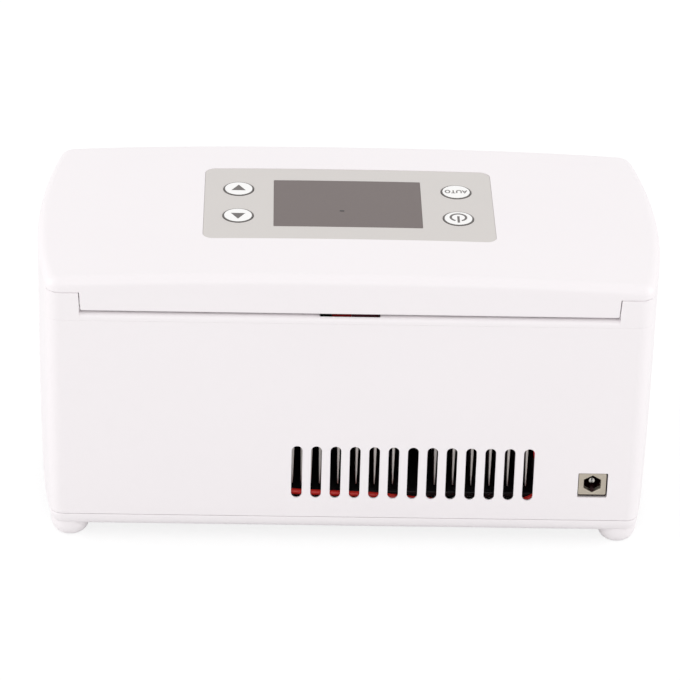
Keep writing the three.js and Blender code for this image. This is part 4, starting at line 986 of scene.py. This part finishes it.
def add_lid_shell():
    profile = [(WALL, LID_TOP - WALL, 1), (WALL, LID_SEAM)]
    profile += edge(0, LID_SEAM, SEAM_EDGE, UNDERSIDE_OUT, 0)
    profile += edge(0, LID_TOP, LID_FILLET, OUTSIDE_UP, 1, steps=FILLET_STEPS)
    body = lofted("lid_shell_fine", case_rings(profile, SIDE_STEPS))

    loops = []
    for z, by in [*round_low(SKIRT_BOTTOM, SKIRT_EDGE), (LID_SEAM + SEAM_EDGE, 0)]:
        reach = skirt_width(z) + by
        outline = rounded((-reach, reach), (REAR - by, REAR + WALL + by), SKIRT_EDGE, EDGE_STEPS)(0)
        loops.append([(x, y, z) for x, y in outline])
    parts = [stacked("apron", loops)]
    outer = skirt_width(SKIRT_BOTTOM)
    knuckle_ys = (REAR + WALL / 2, REAR + KNUCKLE_DEPTH)
    knuckle_levels = solid_levels(LID_BOTTOM, LID_TOP - LID_FILLET - FIT, 0, KNUCKLE_EDGE)
    for side in (-1, 1):
        xs = mirrored(side, outer - KNUCKLE_LENGTH, outer)
        parts.append(slab("knuckle", "z", xs, knuckle_ys, KNUCKLE_EDGE, knuckle_levels))
    post_ends = (board_high.z + CLOSE_FIT, LID_TOP - WALL)
    for x in grown((board_low.x, board_high.x), -DISPLAY_POST_INSET):
        for y in grown((board_low.y, board_high.y), -DISPLAY_POST_INSET):
            parts.append(pillar("post", (x, y), DISPLAY_POST_RADIUS, *post_ends, steps=CIRCLE_STEPS // 2))
    body = joined(body, *parts)

    holes = []
    for side in (-1, 1):
        ends = mirrored(side, skirt_reach - KNUCKLE_LENGTH - OVERRUN, skirt_reach + OVERRUN)
        holes.append(pin_bore(pin_radius + FIT, ends))
    rise = [(0, PANEL_THICKNESS + PANEL_SUNK + CLOSE_FIT)]
    for place, grow in reversed(mouth(0, 1, PANEL_EDGE)):
        rise.append((-grow, place))
    xs, ys = grown(panel_xs, PANEL_LINE), grown(panel_ys, PANEL_LINE)
    holes.append(lofted("recess", crowned_rings(xs, ys, PANEL_CORNER + PANEL_LINE, rise)))
    xs, ys = grown(panel_xs, -PANEL_LEDGE), grown(panel_ys, -PANEL_LEDGE)
    holes.append(slab("opening", "z", xs, ys, PANEL_CORNER, straight(board_low.z, LID_TOP)))
    finished(cut(body, *holes), "lid", "case_white", ["lid_shell"])


# Control panel and window
WINDOW_CORNER = 0.4
WINDOW_THICKNESS = 1
WINDOW_LEDGE = 1.2
WINDOW_EDGE = 0.08
BUTTON_RADIUS = 5.17
BUTTON_SHIFT = -0.3
BUTTON_EDGE = 0.12
WINDOW_SHIFT = -0.4
DOT_PLACE = (-2.4, -1.4)
DOT_SIZE = (1.6, 0.8)
DOT_CORNER = 0.32
WINDOW_LINE = 0.03
window_xs = (window_low.x + WINDOW_SHIFT, window_high.x + WINDOW_SHIFT)
window_ys = (window_low.y, window_high.y)
BUTTONS = ("up", "down", "power", "auto")


def button_centre(name):
    low, high = span(f"{name}_button")
    return (low.x + high.x) / 2 + BUTTON_SHIFT, (low.y + high.y) / 2


def add_control_panel():
    deep = PANEL_THICKNESS + PANEL_SUNK
    profile = [(0, deep), (0, PANEL_SUNK + PANEL_EDGE), (PANEL_EDGE / 3, PANEL_SUNK + PANEL_EDGE / 3)]
    profile += [(PANEL_EDGE, PANEL_SUNK)]
    panel = lofted("control_panel_fine", crowned_rings(panel_xs, panel_ys, PANEL_CORNER, profile))
    under = panel_low.z - OVERRUN
    rise = [(0, WINDOW_THICKNESS + PANEL_SUNK + CLOSE_FIT), (0, -OVERRUN)]
    xs, ys = grown(window_xs, WINDOW_LINE), grown(window_ys, WINDOW_LINE)
    holes = [lofted("pocket", crowned_rings(xs, ys, WINDOW_CORNER, rise))]
    xs, ys = grown(window_xs, -WINDOW_LEDGE), grown(window_ys, -WINDOW_LEDGE)
    holes.append(slab("opening", "z", xs, ys, WINDOW_CORNER, straight(under, LID_TOP)))
    for name in BUTTONS:
        x, y = button_centre(name)
        surface_here = LID_TOP - crown_fall(x) - PANEL_SUNK
        levels = [*mouth(surface_here, -1, BUTTON_EDGE), (under, 0)]
        holes.append(along("hole", "z", circle(x, y, BUTTON_RADIUS + CLOSE_FIT), levels))
    finished(cut(panel, *holes), "lid", "panel_grey", ["control_panel"])


def add_display_window():
    deep = WINDOW_THICKNESS + PANEL_SUNK
    profile = [(0, deep), (0, PANEL_SUNK + WINDOW_EDGE), (WINDOW_EDGE, PANEL_SUNK)]
    rings = crowned_rings(window_xs, window_ys, WINDOW_CORNER, profile)
    finished(lofted("display_window_fine", rings), "lid", "window_dark", ["display_window"])
    x, y = DOT_PLACE
    dot_top = LID_TOP - crown_fall(x) - PANEL_SUNK / 2
    xs, ys = around(x, DOT_SIZE[0]), around(y, DOT_SIZE[1])
    dot = slab("display_dot", "z", xs, ys, DOT_CORNER, straight(dot_top - PANEL_SUNK, dot_top))
    finished(dot, "lid", "window_dark", look="dot_dark")


# Buttons: a white cap on a dark skirt, with its legend printed on it
CAP_RADIUS = 4.68
CAP_HEIGHT = 0.13
CAP_EDGE = 0.06
CAP_GAP = 0.015
PRINT_HEIGHT = 0.02
STROKE = 0.42
FLANGE_RADIUS = 6
FLANGE_HEIGHT = 0.5
TRIANGLE_SIDE = 4.9
POWER_RADIUS = 2.6
POWER_STROKE = 0.8
POWER_SHIFT = 0.6
POWER_OPENING = math.radians(24)
POWER_STEM = (-3.3, 1.5)
LETTER_HEIGHT = 2.1
LETTER_WIDTH = 1.5
LETTER_GAP = 0.45
LETTER_STEPS = 24
MITER_SHARE = 0.5

# Shares of a letter's width and height: the bar of the A and the bowl of the U
BAR_INSET_SHARE = 0.2
BAR_SHARE = 0.35
BOWL_SHARE = 0.3
BEND_INSET_SHARE = 0.15
BEND_SHARE = 0.08


def stroke(points, width, low, high):
    """A flat line of even width through points, as a closed body."""
    points = [Vector(point) for point in points]
    legs = [(after - before).normalized() for before, after in zip(points, points[1:])]
    left, right = [], []
    for i, here in enumerate(points):
        near = legs[max(i - 1, 0):i + 1]
        way = sum(near, Vector((0, 0))).normalized()
        miter = max(way.dot(near[-1]), MITER_SHARE)
        across = Vector((-way.y, way.x)) * (width / 2 / miter)
        left.append(here + across)
        right.append(here - across)
    outline = [tuple(point) for point in (*left, *reversed(right))]
    return along("stroke", "z", lambda by: outline, straight(low, high))


def letter_strokes():
    """The strokes of A, U, T and O in shares of a letter's width and height."""
    bar = [(BAR_INSET_SHARE, BAR_SHARE), (1 - BAR_INSET_SHARE, BAR_SHARE)]
    left_bend, right_bend = (BEND_INSET_SHARE, BEND_SHARE), (1 - BEND_INSET_SHARE, BEND_SHARE)
    return [
        [[(0, 0), (0.5, 1), (1, 0)], bar],
        [[(0, 1), (0, BOWL_SHARE), left_bend, (0.5, 0), right_bend, (1, BOWL_SHARE), (1, 1)]],
        [[(0, 1), (1, 1)], [(0.5, 1), (0.5, 0)]],
        [arc(0.5, 0.5, 0.5, 0, 4 * QUARTER, LETTER_STEPS)],
    ]


def arrow(name, x, y):
    """The corners of a triangle whose tip points to the rear or to the front."""
    tip = -1 if name == "up" else 1
    height = TRIANGLE_SIDE * math.sin(math.pi / 3)
    base_y = y - tip * height / 3
    return [(x - TRIANGLE_SIDE / 2, base_y), (x + TRIANGLE_SIDE / 2, base_y), (x, base_y + tip * height)]


def legend_strokes(name, x, y, low, high):
    if name in ("up", "down"):
        return [along("stroke", "z", lambda by: arrow(name, x, y), straight(low, high))]
    if name == "power":
        start, end = POWER_OPENING - QUARTER, 3 * QUARTER - POWER_OPENING
        ring = arc(x, y + POWER_SHIFT, POWER_RADIUS, start, end, CIRCLE_STEPS)
        stem = [(x, y + POWER_STEM[0]), (x, y + POWER_STEM[1])]
        return [stroke(points, POWER_STROKE, low, high) for points in (ring, stem)]
    strokes = []
    letters = letter_strokes()
    pitch = LETTER_WIDTH + LETTER_GAP
    width = len(letters) * pitch - LETTER_GAP
    top = y + LETTER_HEIGHT / 2
    for i, letter in enumerate(letters):
        start = x + width / 2 - i * pitch
        for line in letter:
            points = [(start - u * LETTER_WIDTH, top - v * LETTER_HEIGHT) for u, v in line]
            strokes.append(stroke(points, STROKE, low, high))
    return strokes


def add_buttons():
    for name in BUTTONS:
        x, y = button_centre(name)
        low, high = span(f"{name}_button")
        body = f"{name}_key"
        flange_top = low.z + FLANGE_HEIGHT
        cap_low = high.z - CAP_HEIGHT - PRINT_HEIGHT
        cap_top = high.z - PRINT_HEIGHT
        profile = [(0, low.z), (FLANGE_RADIUS, low.z), (FLANGE_RADIUS, flange_top)]
        profile += [(BUTTON_RADIUS, flange_top), (BUTTON_RADIUS, cap_low - CAP_EDGE)]
        profile += [(BUTTON_RADIUS - CAP_EDGE, cap_low), (0, cap_low)]
        skirt = turned(f"{name}_button_skirt", profile, (x, y, 0))
        finished(skirt, body, "window_dark", [f"{name}_button"], "skirt_grey")
        profile = [(0, cap_low + CAP_GAP), (CAP_RADIUS, cap_low + CAP_GAP)]
        profile += arc(CAP_RADIUS - CAP_EDGE, cap_top - CAP_EDGE, CAP_EDGE, 0, QUARTER, EDGE_STEPS)
        profile += [(0, cap_top)]
        cap = turned(f"{name}_button_cap", profile, (x, y, 0))
        finished(cap, body, "button_white", [f"{name}_button"])
        legend, *others = legend_strokes(name, x, y, cap_top, high.z)
        if others:
            joined(legend, *others)
        legend.name = f"{name}_legend"
        finished(legend, body, "window_dark", look="print_grey")


# Lid liner and gasket
LINER_CORNER = 8
LINER_THICKNESS = 1.4
PLUG_CLEARANCE = 1.5
PLUG_WALL = 1.6
PLUG_ROUND = 2
HOLDER_WALL = 1.4
lid_magnet_low, lid_magnet_high = span("lid_magnet")
gasket_low, gasket_high = span("lid_gasket")
GASKET_WIDTH = 3.2


def add_lid_liner():
    xs, ys = (liner_low.x, liner_high.x), (liner_low.y, liner_high.y)
    liner_bottom = liner_high.z - LINER_THICKNESS
    flange_levels = solid_levels(liner_bottom, liner_high.z, FINE_EDGE)
    flange = slab("lid_liner_fine", "z", xs, ys, LINER_CORNER, flange_levels)
    plug_levels = round_low(liner_low.z, PLUG_ROUND, -PLUG_CLEARANCE)
    plug_levels.append((liner_bottom + FIT, -PLUG_CLEARANCE))
    plug = along("plug", "z", tray_outline, plug_levels)
    holder_low = lid_magnet_low.z - CLOSE_FIT
    holder_centre = (0, (lid_magnet_low.y + lid_magnet_high.y) / 2)
    holder_levels = solid_levels(holder_low, liner_bottom + FIT, 0, FIT)
    holder = along("holder", "z", circle(*holder_centre, magnet_radius + HOLDER_WALL), holder_levels)
    pocket_ends = (holder_low - OVERRUN, lid_magnet_high.z + CLOSE_FIT)
    pocket = pillar("pocket", holder_centre, magnet_radius + CLOSE_FIT, *pocket_ends)
    above = liner_high.z + OVERRUN
    hollow_levels = straight(liner_low.z + PLUG_WALL, above, -PLUG_CLEARANCE - PLUG_WALL)
    hollow = along("hollow", "z", tray_outline, hollow_levels)
    notch_levels = straight(liner_bottom - OVERRUN, above)
    notch = slab("notch", "z", cable_xs, (REAR, REAR + CABLE_SLOT_TO), FIT, notch_levels)
    body = cut(joined(flange, plug, holder), hollow, pocket, notch)
    finished(body, "lid", "case_white", ["lid_liner"])


def add_gasket():
    """A soft seal with a round bead for its lower edge."""
    low, high = gasket_low.z, gasket_high.z
    radius = GASKET_WIDTH / 2
    middle = gasket_high.x - tray_xs[1] - radius
    section = arc(middle, low + radius, radius, -2 * QUARTER, 0, CORNER_STEPS)
    section += [(middle + radius, high), (middle - radius, high)]
    loops = [[(x, y, z) for x, y in tray_outline(grow)] for grow, z in section]
    finished(stacked("lid_gasket_fine", loops, ring_closed=True), "lid", "silicone", ["lid_gasket"])


# Power inlet
jack_low, jack_high = span("inlet_face")
jack_body_low, jack_body_high = span("inlet_body")
jack_pin_low, jack_pin_high = span("inlet_pin")
JACK_HEX_RADIUS = 3.25
HEX_SIDES = 6
JACK_HEX_EDGE = 0.4
JACK_EDGE = 0.12
JACK_CORNER = 0.5
JACK_BORE_RADIUS = 3
JACK_BORE_DEPTH = 9
PIN_SLIT = 0.42
PIN_SLIT_DEPTH = 4
PIN_EDGE = 0.25
TAB_WIDTH = 1.3
TAB_HEIGHT = 1.5
FLANGE_SUNK = 1
SLEEVE_WALL = 0.45
SLEEVE_DEPTH = 1.2
SEAT_GAP = 0.05
FACET_ANGLE = math.radians(20)

jack_xs = (jack_low.x, jack_high.x)
jack_zs = (jack_low.z, jack_high.z)
jack_x = (jack_low.x + jack_high.x) / 2
jack_z = (jack_low.z + jack_high.z) / 2
sleeve_end = jack_high.y + SLEEVE_DEPTH


def hexagon(by):
    radius = JACK_HEX_RADIUS + by / math.cos(math.pi / HEX_SIDES)
    return arc(jack_x, jack_z, radius, QUARTER, 5 * QUARTER, HEX_SIDES)[:-1]


def add_inlet_face():
    plate_levels = solid_levels(jack_low.y, jack_high.y, JACK_EDGE)
    plate = slab("inlet_face_fine", "y", jack_xs, jack_zs, JACK_CORNER, plate_levels)
    sleeve = along("sleeve", "y", hexagon, straight(jack_high.y - FINE_EDGE, sleeve_end, SLEEVE_WALL))
    levels = [*mouth(jack_low.y, 1, JACK_HEX_EDGE), (sleeve_end + OVERRUN, 0)]
    face = cut(joined(plate, sleeve), along("hexagon", "y", hexagon, levels))
    finished(face, "case", "inlet_metal", ["inlet_face"], angle=FACET_ANGLE)


def add_inlet_body():
    """The black body behind the metal face, with a tab in its bore and a flange that fills the opening. The
    flange is a dark sheet of painted shade for the gap around the face, and its red-black colour is partly
    the body's own black and partly painted shade.
    """
    behind = jack_body_low.y + OVERRUN
    xs = (jack_body_low.x, inlet_xs[1] - CLOSE_FIT)
    zs = (jack_body_low.z, jack_body_high.z)
    levels = solid_levels(jack_body_low.y, jack_body_high.y, FINE_EDGE)
    body = slab("inlet_body_fine", "y", xs, zs, JACK_CORNER, levels)
    bore_ends = (jack_body_low.y - OVERRUN, jack_body_low.y + JACK_BORE_DEPTH)
    bore = pillar("bore", (jack_x, jack_z), JACK_BORE_RADIUS, *bore_ends, axis="y")
    levels = solid_levels(jack_low.y + FLANGE_SUNK, behind, FINE_EDGE)
    flange = slab("flange", "y", xs, grown(inlet_zs, -CLOSE_FIT), JACK_CORNER, levels)
    seat_xs, seat_zs = grown(jack_xs, CLOSE_FIT), grown(jack_zs, CLOSE_FIT)
    seat_levels = straight(jack_low.y - OVERRUN, jack_body_low.y)
    seat = slab("seat", "y", seat_xs, seat_zs, JACK_CORNER, seat_levels)
    sleeve_levels = straight(jack_low.y, sleeve_end + SEAT_GAP, SLEEVE_WALL + SEAT_GAP)
    sleeve_seat = along("sleeve_seat", "y", hexagon, sleeve_levels)
    body = cut(joined(body, cut(flange, seat)), bore, sleeve_seat)
    tab_zs = (jack_z - JACK_HEX_RADIUS + FIT, jack_z - JACK_HEX_RADIUS + TAB_HEIGHT)
    levels = solid_levels(jack_low.y + FIT, behind, FINE_EDGE)
    tab = slab("tab", "y", around(jack_x, TAB_WIDTH), tab_zs, FINE_EDGE, levels)
    finished(joined(body, tab), "case", "black_plastic", ["inlet_body"], "inlet_black")


def add_inlet_pin():
    low, high = jack_pin_low.y, jack_pin_high.y
    radius = (jack_pin_high.x - jack_pin_low.x) / 2
    profile = [(0, low), (radius - PIN_EDGE, low)]
    profile += arc(radius - PIN_EDGE, low + PIN_EDGE, PIN_EDGE, -QUARTER, 0, EDGE_STEPS)
    profile += [(radius, high), (0, high)]
    split_pin = turned("inlet_pin_fine", profile, (jack_x, 0, jack_z), "y")
    slit_xs, slit_zs = around(jack_x, PIN_SLIT), (jack_z, jack_z + radius + FIT)
    slit_levels = straight(low - OVERRUN, low + PIN_SLIT_DEPTH)
    slit = slab("slit", "y", slit_xs, slit_zs, PIN_SLIT / 3, slit_levels)
    finished(cut(split_pin, slit), "case", "steel", ["inlet_pin"])


# Pieces that keep the CAD solid's shape and get finer edges
COPY_EDGE = 0.2
ROTOR_EDGE = 0.1
FLAT_ANGLE = math.radians(1)
BEVEL_ANGLE = math.radians(40)
BEVEL_SEGMENTS = 2
TUBE_LEVELS = 2


def cad_copy(node, lowered=0):
    """A copy of a CAD node in millimetres, with its shared corners welded."""
    obj = bpy.data.objects.new(f"{node}_fine", frame["nodes"][node].data.copy())
    bpy.context.scene.collection.objects.link(obj)
    obj.data.transform(Matrix.Translation((0, 0, -lowered)) @ Matrix.Scale(1 / MM, 4))
    with editing(obj.data) as work:
        bmesh.ops.remove_doubles(work, verts=work.verts, dist=WELD)
    return obj


def refined(node, body, slot, edge_width=COPY_EDGE, segments=BEVEL_SEGMENTS):
    """A copy of a CAD node with its triangles joined into faces and its edges rounded."""
    obj = cad_copy(node)
    with editing(obj.data) as work:
        bmesh.ops.dissolve_limit(work, angle_limit=FLAT_ANGLE, verts=work.verts, edges=work.edges)
    bevel = obj.modifiers.new("edges", "BEVEL")
    bevel.width = edge_width
    bevel.segments = segments
    bevel.limit_method = "ANGLE"
    bevel.angle_limit = BEVEL_ANGLE
    bevel.use_clamp_overlap = True
    applied(obj)
    return finished(obj, body, slot, [node])


def smoothed_tube(node, body, slot, lowered=0):
    """A copy of a CAD lead with its eight sides made round."""
    obj = cad_copy(node, lowered)
    with editing(obj.data) as work:
        bmesh.ops.join_triangles(work, faces=work.faces, angle_face_threshold=QUARTER,
                                 angle_shape_threshold=math.pi)
    subdivision = obj.modifiers.new("round", "SUBSURF")
    subdivision.levels = TUBE_LEVELS
    subdivision.render_levels = TUBE_LEVELS
    applied(obj)
    return finished(obj, body, slot, [node])


LEAD_LOWERED = 0.35
INNER_PIECES = {
    "black_plastic": ("air_duct", "fan_frame_left", "fan_frame_right", "battery_holder", "board_controller"),
    "aluminium": ("cold_block_left", "cold_block_right", "heat_sink_left", "heat_sink_right"),
    "ceramic": ("cooling_module_left", "cooling_module_right", "board_connector"),
    "foam": ("tray_insulation",),
    "board_green": ("main_board",),
}
LID_PIECES = {
    "black_plastic": ("display_module", *(f"key_switch_{name}" for name in BUTTONS)),
    "board_green": ("display_board",),
    "foam": ("lid_foam",),
}


def add_inner_pieces():
    for slot, nodes in INNER_PIECES.items():
        for node in nodes:
            refined(node, "case", slot)
    for slot, nodes in LID_PIECES.items():
        for node in nodes:
            refined(node, "lid", slot)
    for side in ("left", "right"):
        refined(f"fan_rotor_{side}", f"{side}_rotor", "black_plastic", ROTOR_EDGE, segments=1)
    smoothed_tube("battery_lead_red", "case", "red_lead")
    smoothed_tube("battery_lead_black", "case", "black_lead")
    smoothed_tube("module_lead_red", "case", "red_lead", LEAD_LOWERED)


# Battery cells, and the can of the board's capacitor
CELL_GROOVE = 0.5
CELL_EDGE = 0.8
CELL_NUB = 1


def add_cells():
    for number in (1, 2):
        node = f"battery_cell_{number}"
        low, high = span(node)
        middle = (low + high) / 2
        radius = (high.z - low.z) / 2
        nub_radius = radius / 3
        can_end = high.x - CELL_NUB
        profile = [(0, low.x), (radius - CELL_EDGE, low.x), (radius, low.x + CELL_EDGE)]
        profile += [(radius, can_end - 3 * CELL_EDGE), (radius - CELL_GROOVE, can_end - 2 * CELL_EDGE)]
        profile += [(radius, can_end - CELL_EDGE), (radius - CELL_EDGE, can_end)]
        profile += [(nub_radius, can_end), (nub_radius, high.x), (0, high.x)]
        cell = turned(f"{node}_fine", profile, (0, middle.y, middle.z), "x")
        finished(cell, "case", "cell_sleeve", [node])


def add_capacitor():
    low, high = span("board_capacitor")
    middle = (low + high) / 2
    radius = (high.x - low.x) / 2
    profile = [(0, low.z), (radius, low.z), (radius, low.z + CELL_EDGE)]
    profile += [(radius - CELL_GROOVE, low.z + 2 * CELL_EDGE), (radius, low.z + 3 * CELL_EDGE)]
    profile += [(radius, high.z - CELL_GROOVE), (radius - CELL_GROOVE, high.z), (0, high.z)]
    can = turned("board_capacitor_fine", profile, (middle.x, middle.y, 0))
    finished(can, "case", "aluminium", ["board_capacitor"])


# Harness: a round trunk from the board, and three flat bands side by side up through the frame and
# into the lid
upper_low, upper_high = span("lid_harness_upper")
HARNESS_FALL = 10
HARNESS_LOW = DECK_TOP - HARNESS_FALL
HARNESS_TOP_GAP = 1
RISE_STEPS = 24
BAND_THICKNESS = 1
BAND_ROUND = 0.35
BAND_BEND = 1.5
BAND_GAP = 0.03
# The red band's colour carries painted light, and the maroon band is a darker copy of the red: painted shade
# on red wires
BANDS = {
    "black": {"ends": (-9.7, -6), "slot": "black_lead", "look": "black_lead"},
    "red": {"ends": (-6, 0.6), "slot": "red_lead", "look": "wire_red"},
    "maroon": {"ends": (0.6, 9.6), "slot": "black_lead", "look": "wire_maroon"},
}


def band(name, xs, route):
    """A flat band of even thickness along a route of places in Y and Z."""
    section = rounded(xs, (-BAND_THICKNESS / 2, BAND_THICKNESS / 2), BAND_ROUND, EDGE_STEPS)(0)
    loops = []
    for i, place in enumerate(route):
        before = Vector(route[max(i - 1, 0)])
        after = Vector(route[min(i + 1, len(route) - 1)])
        way = (after - before).normalized()
        across = Vector((-way.y, way.x))
        middle = Vector(place)
        loops.append([(x, *(middle + across * by)) for x, by in section])
    return stacked(name, loops)


def add_harness_trunk():
    """The round part of the lower half, from under the bands to the plug on the board."""
    levels = straight(HARNESS_LOW, LID_TOP)
    above = slab("above", "z", (-HALF_LENGTH, HALF_LENGTH), (REAR, FRONT), WALL, levels)
    trunk = cut(cad_copy("lid_harness_lower"), above)
    finished(trunk, "case", "black_lead", ["lid_harness_lower"])


def add_harness():
    rise_y = upper_low.y + BAND_THICKNESS / 2
    over = upper_high.z - HARNESS_TOP_GAP - BAND_THICKNESS
    bend_start = over - BAND_BEND
    rise = bend_start - HARNESS_LOW
    route = [(rise_y, HARNESS_LOW + rise * k / RISE_STEPS) for k in range(RISE_STEPS)]
    route += arc(rise_y + BAND_BEND, bend_start, BAND_BEND, 2 * QUARTER, QUARTER, CORNER_STEPS)
    route.append((upper_high.y, over))
    for name, look in BANDS.items():
        left, right = grown(look["ends"], -BAND_GAP)
        strip = band(f"harness_{name}", (max(left, upper_low.x), min(right, upper_high.x)), route)
        dressed(strip, look["look"])
        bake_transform(strip)
        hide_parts("lid_harness_lower", "lid_harness_upper")


add_outer_shell()
add_bottom_cover()
add_feet()
add_screws()
add_top_frame()
add_hinge_pins()
add_magnets()
add_cold_tray()
add_lid_shell()
add_control_panel()
add_display_window()
add_buttons()
add_lid_liner()
add_gasket()
add_inlet_face()
add_inlet_body()
add_inlet_pin()
add_inner_pieces()
add_cells()
add_capacitor()
add_harness_trunk()
add_harness()

for node_object in frame["nodes"].values():
    slot_name = next(
        part["material_slot"] for part in frame["record"]["subparts"] if part["node"] == node_object.name
    )
    node_object.data.materials.clear()
    node_object.data.materials.append(LOOKS[slot_name])


def plain(bounds):
    return [list(corner) if hasattr(corner, "__len__") else corner for corner in bounds]


{"cad": plain(cad_bounds), "visual": plain(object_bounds())}
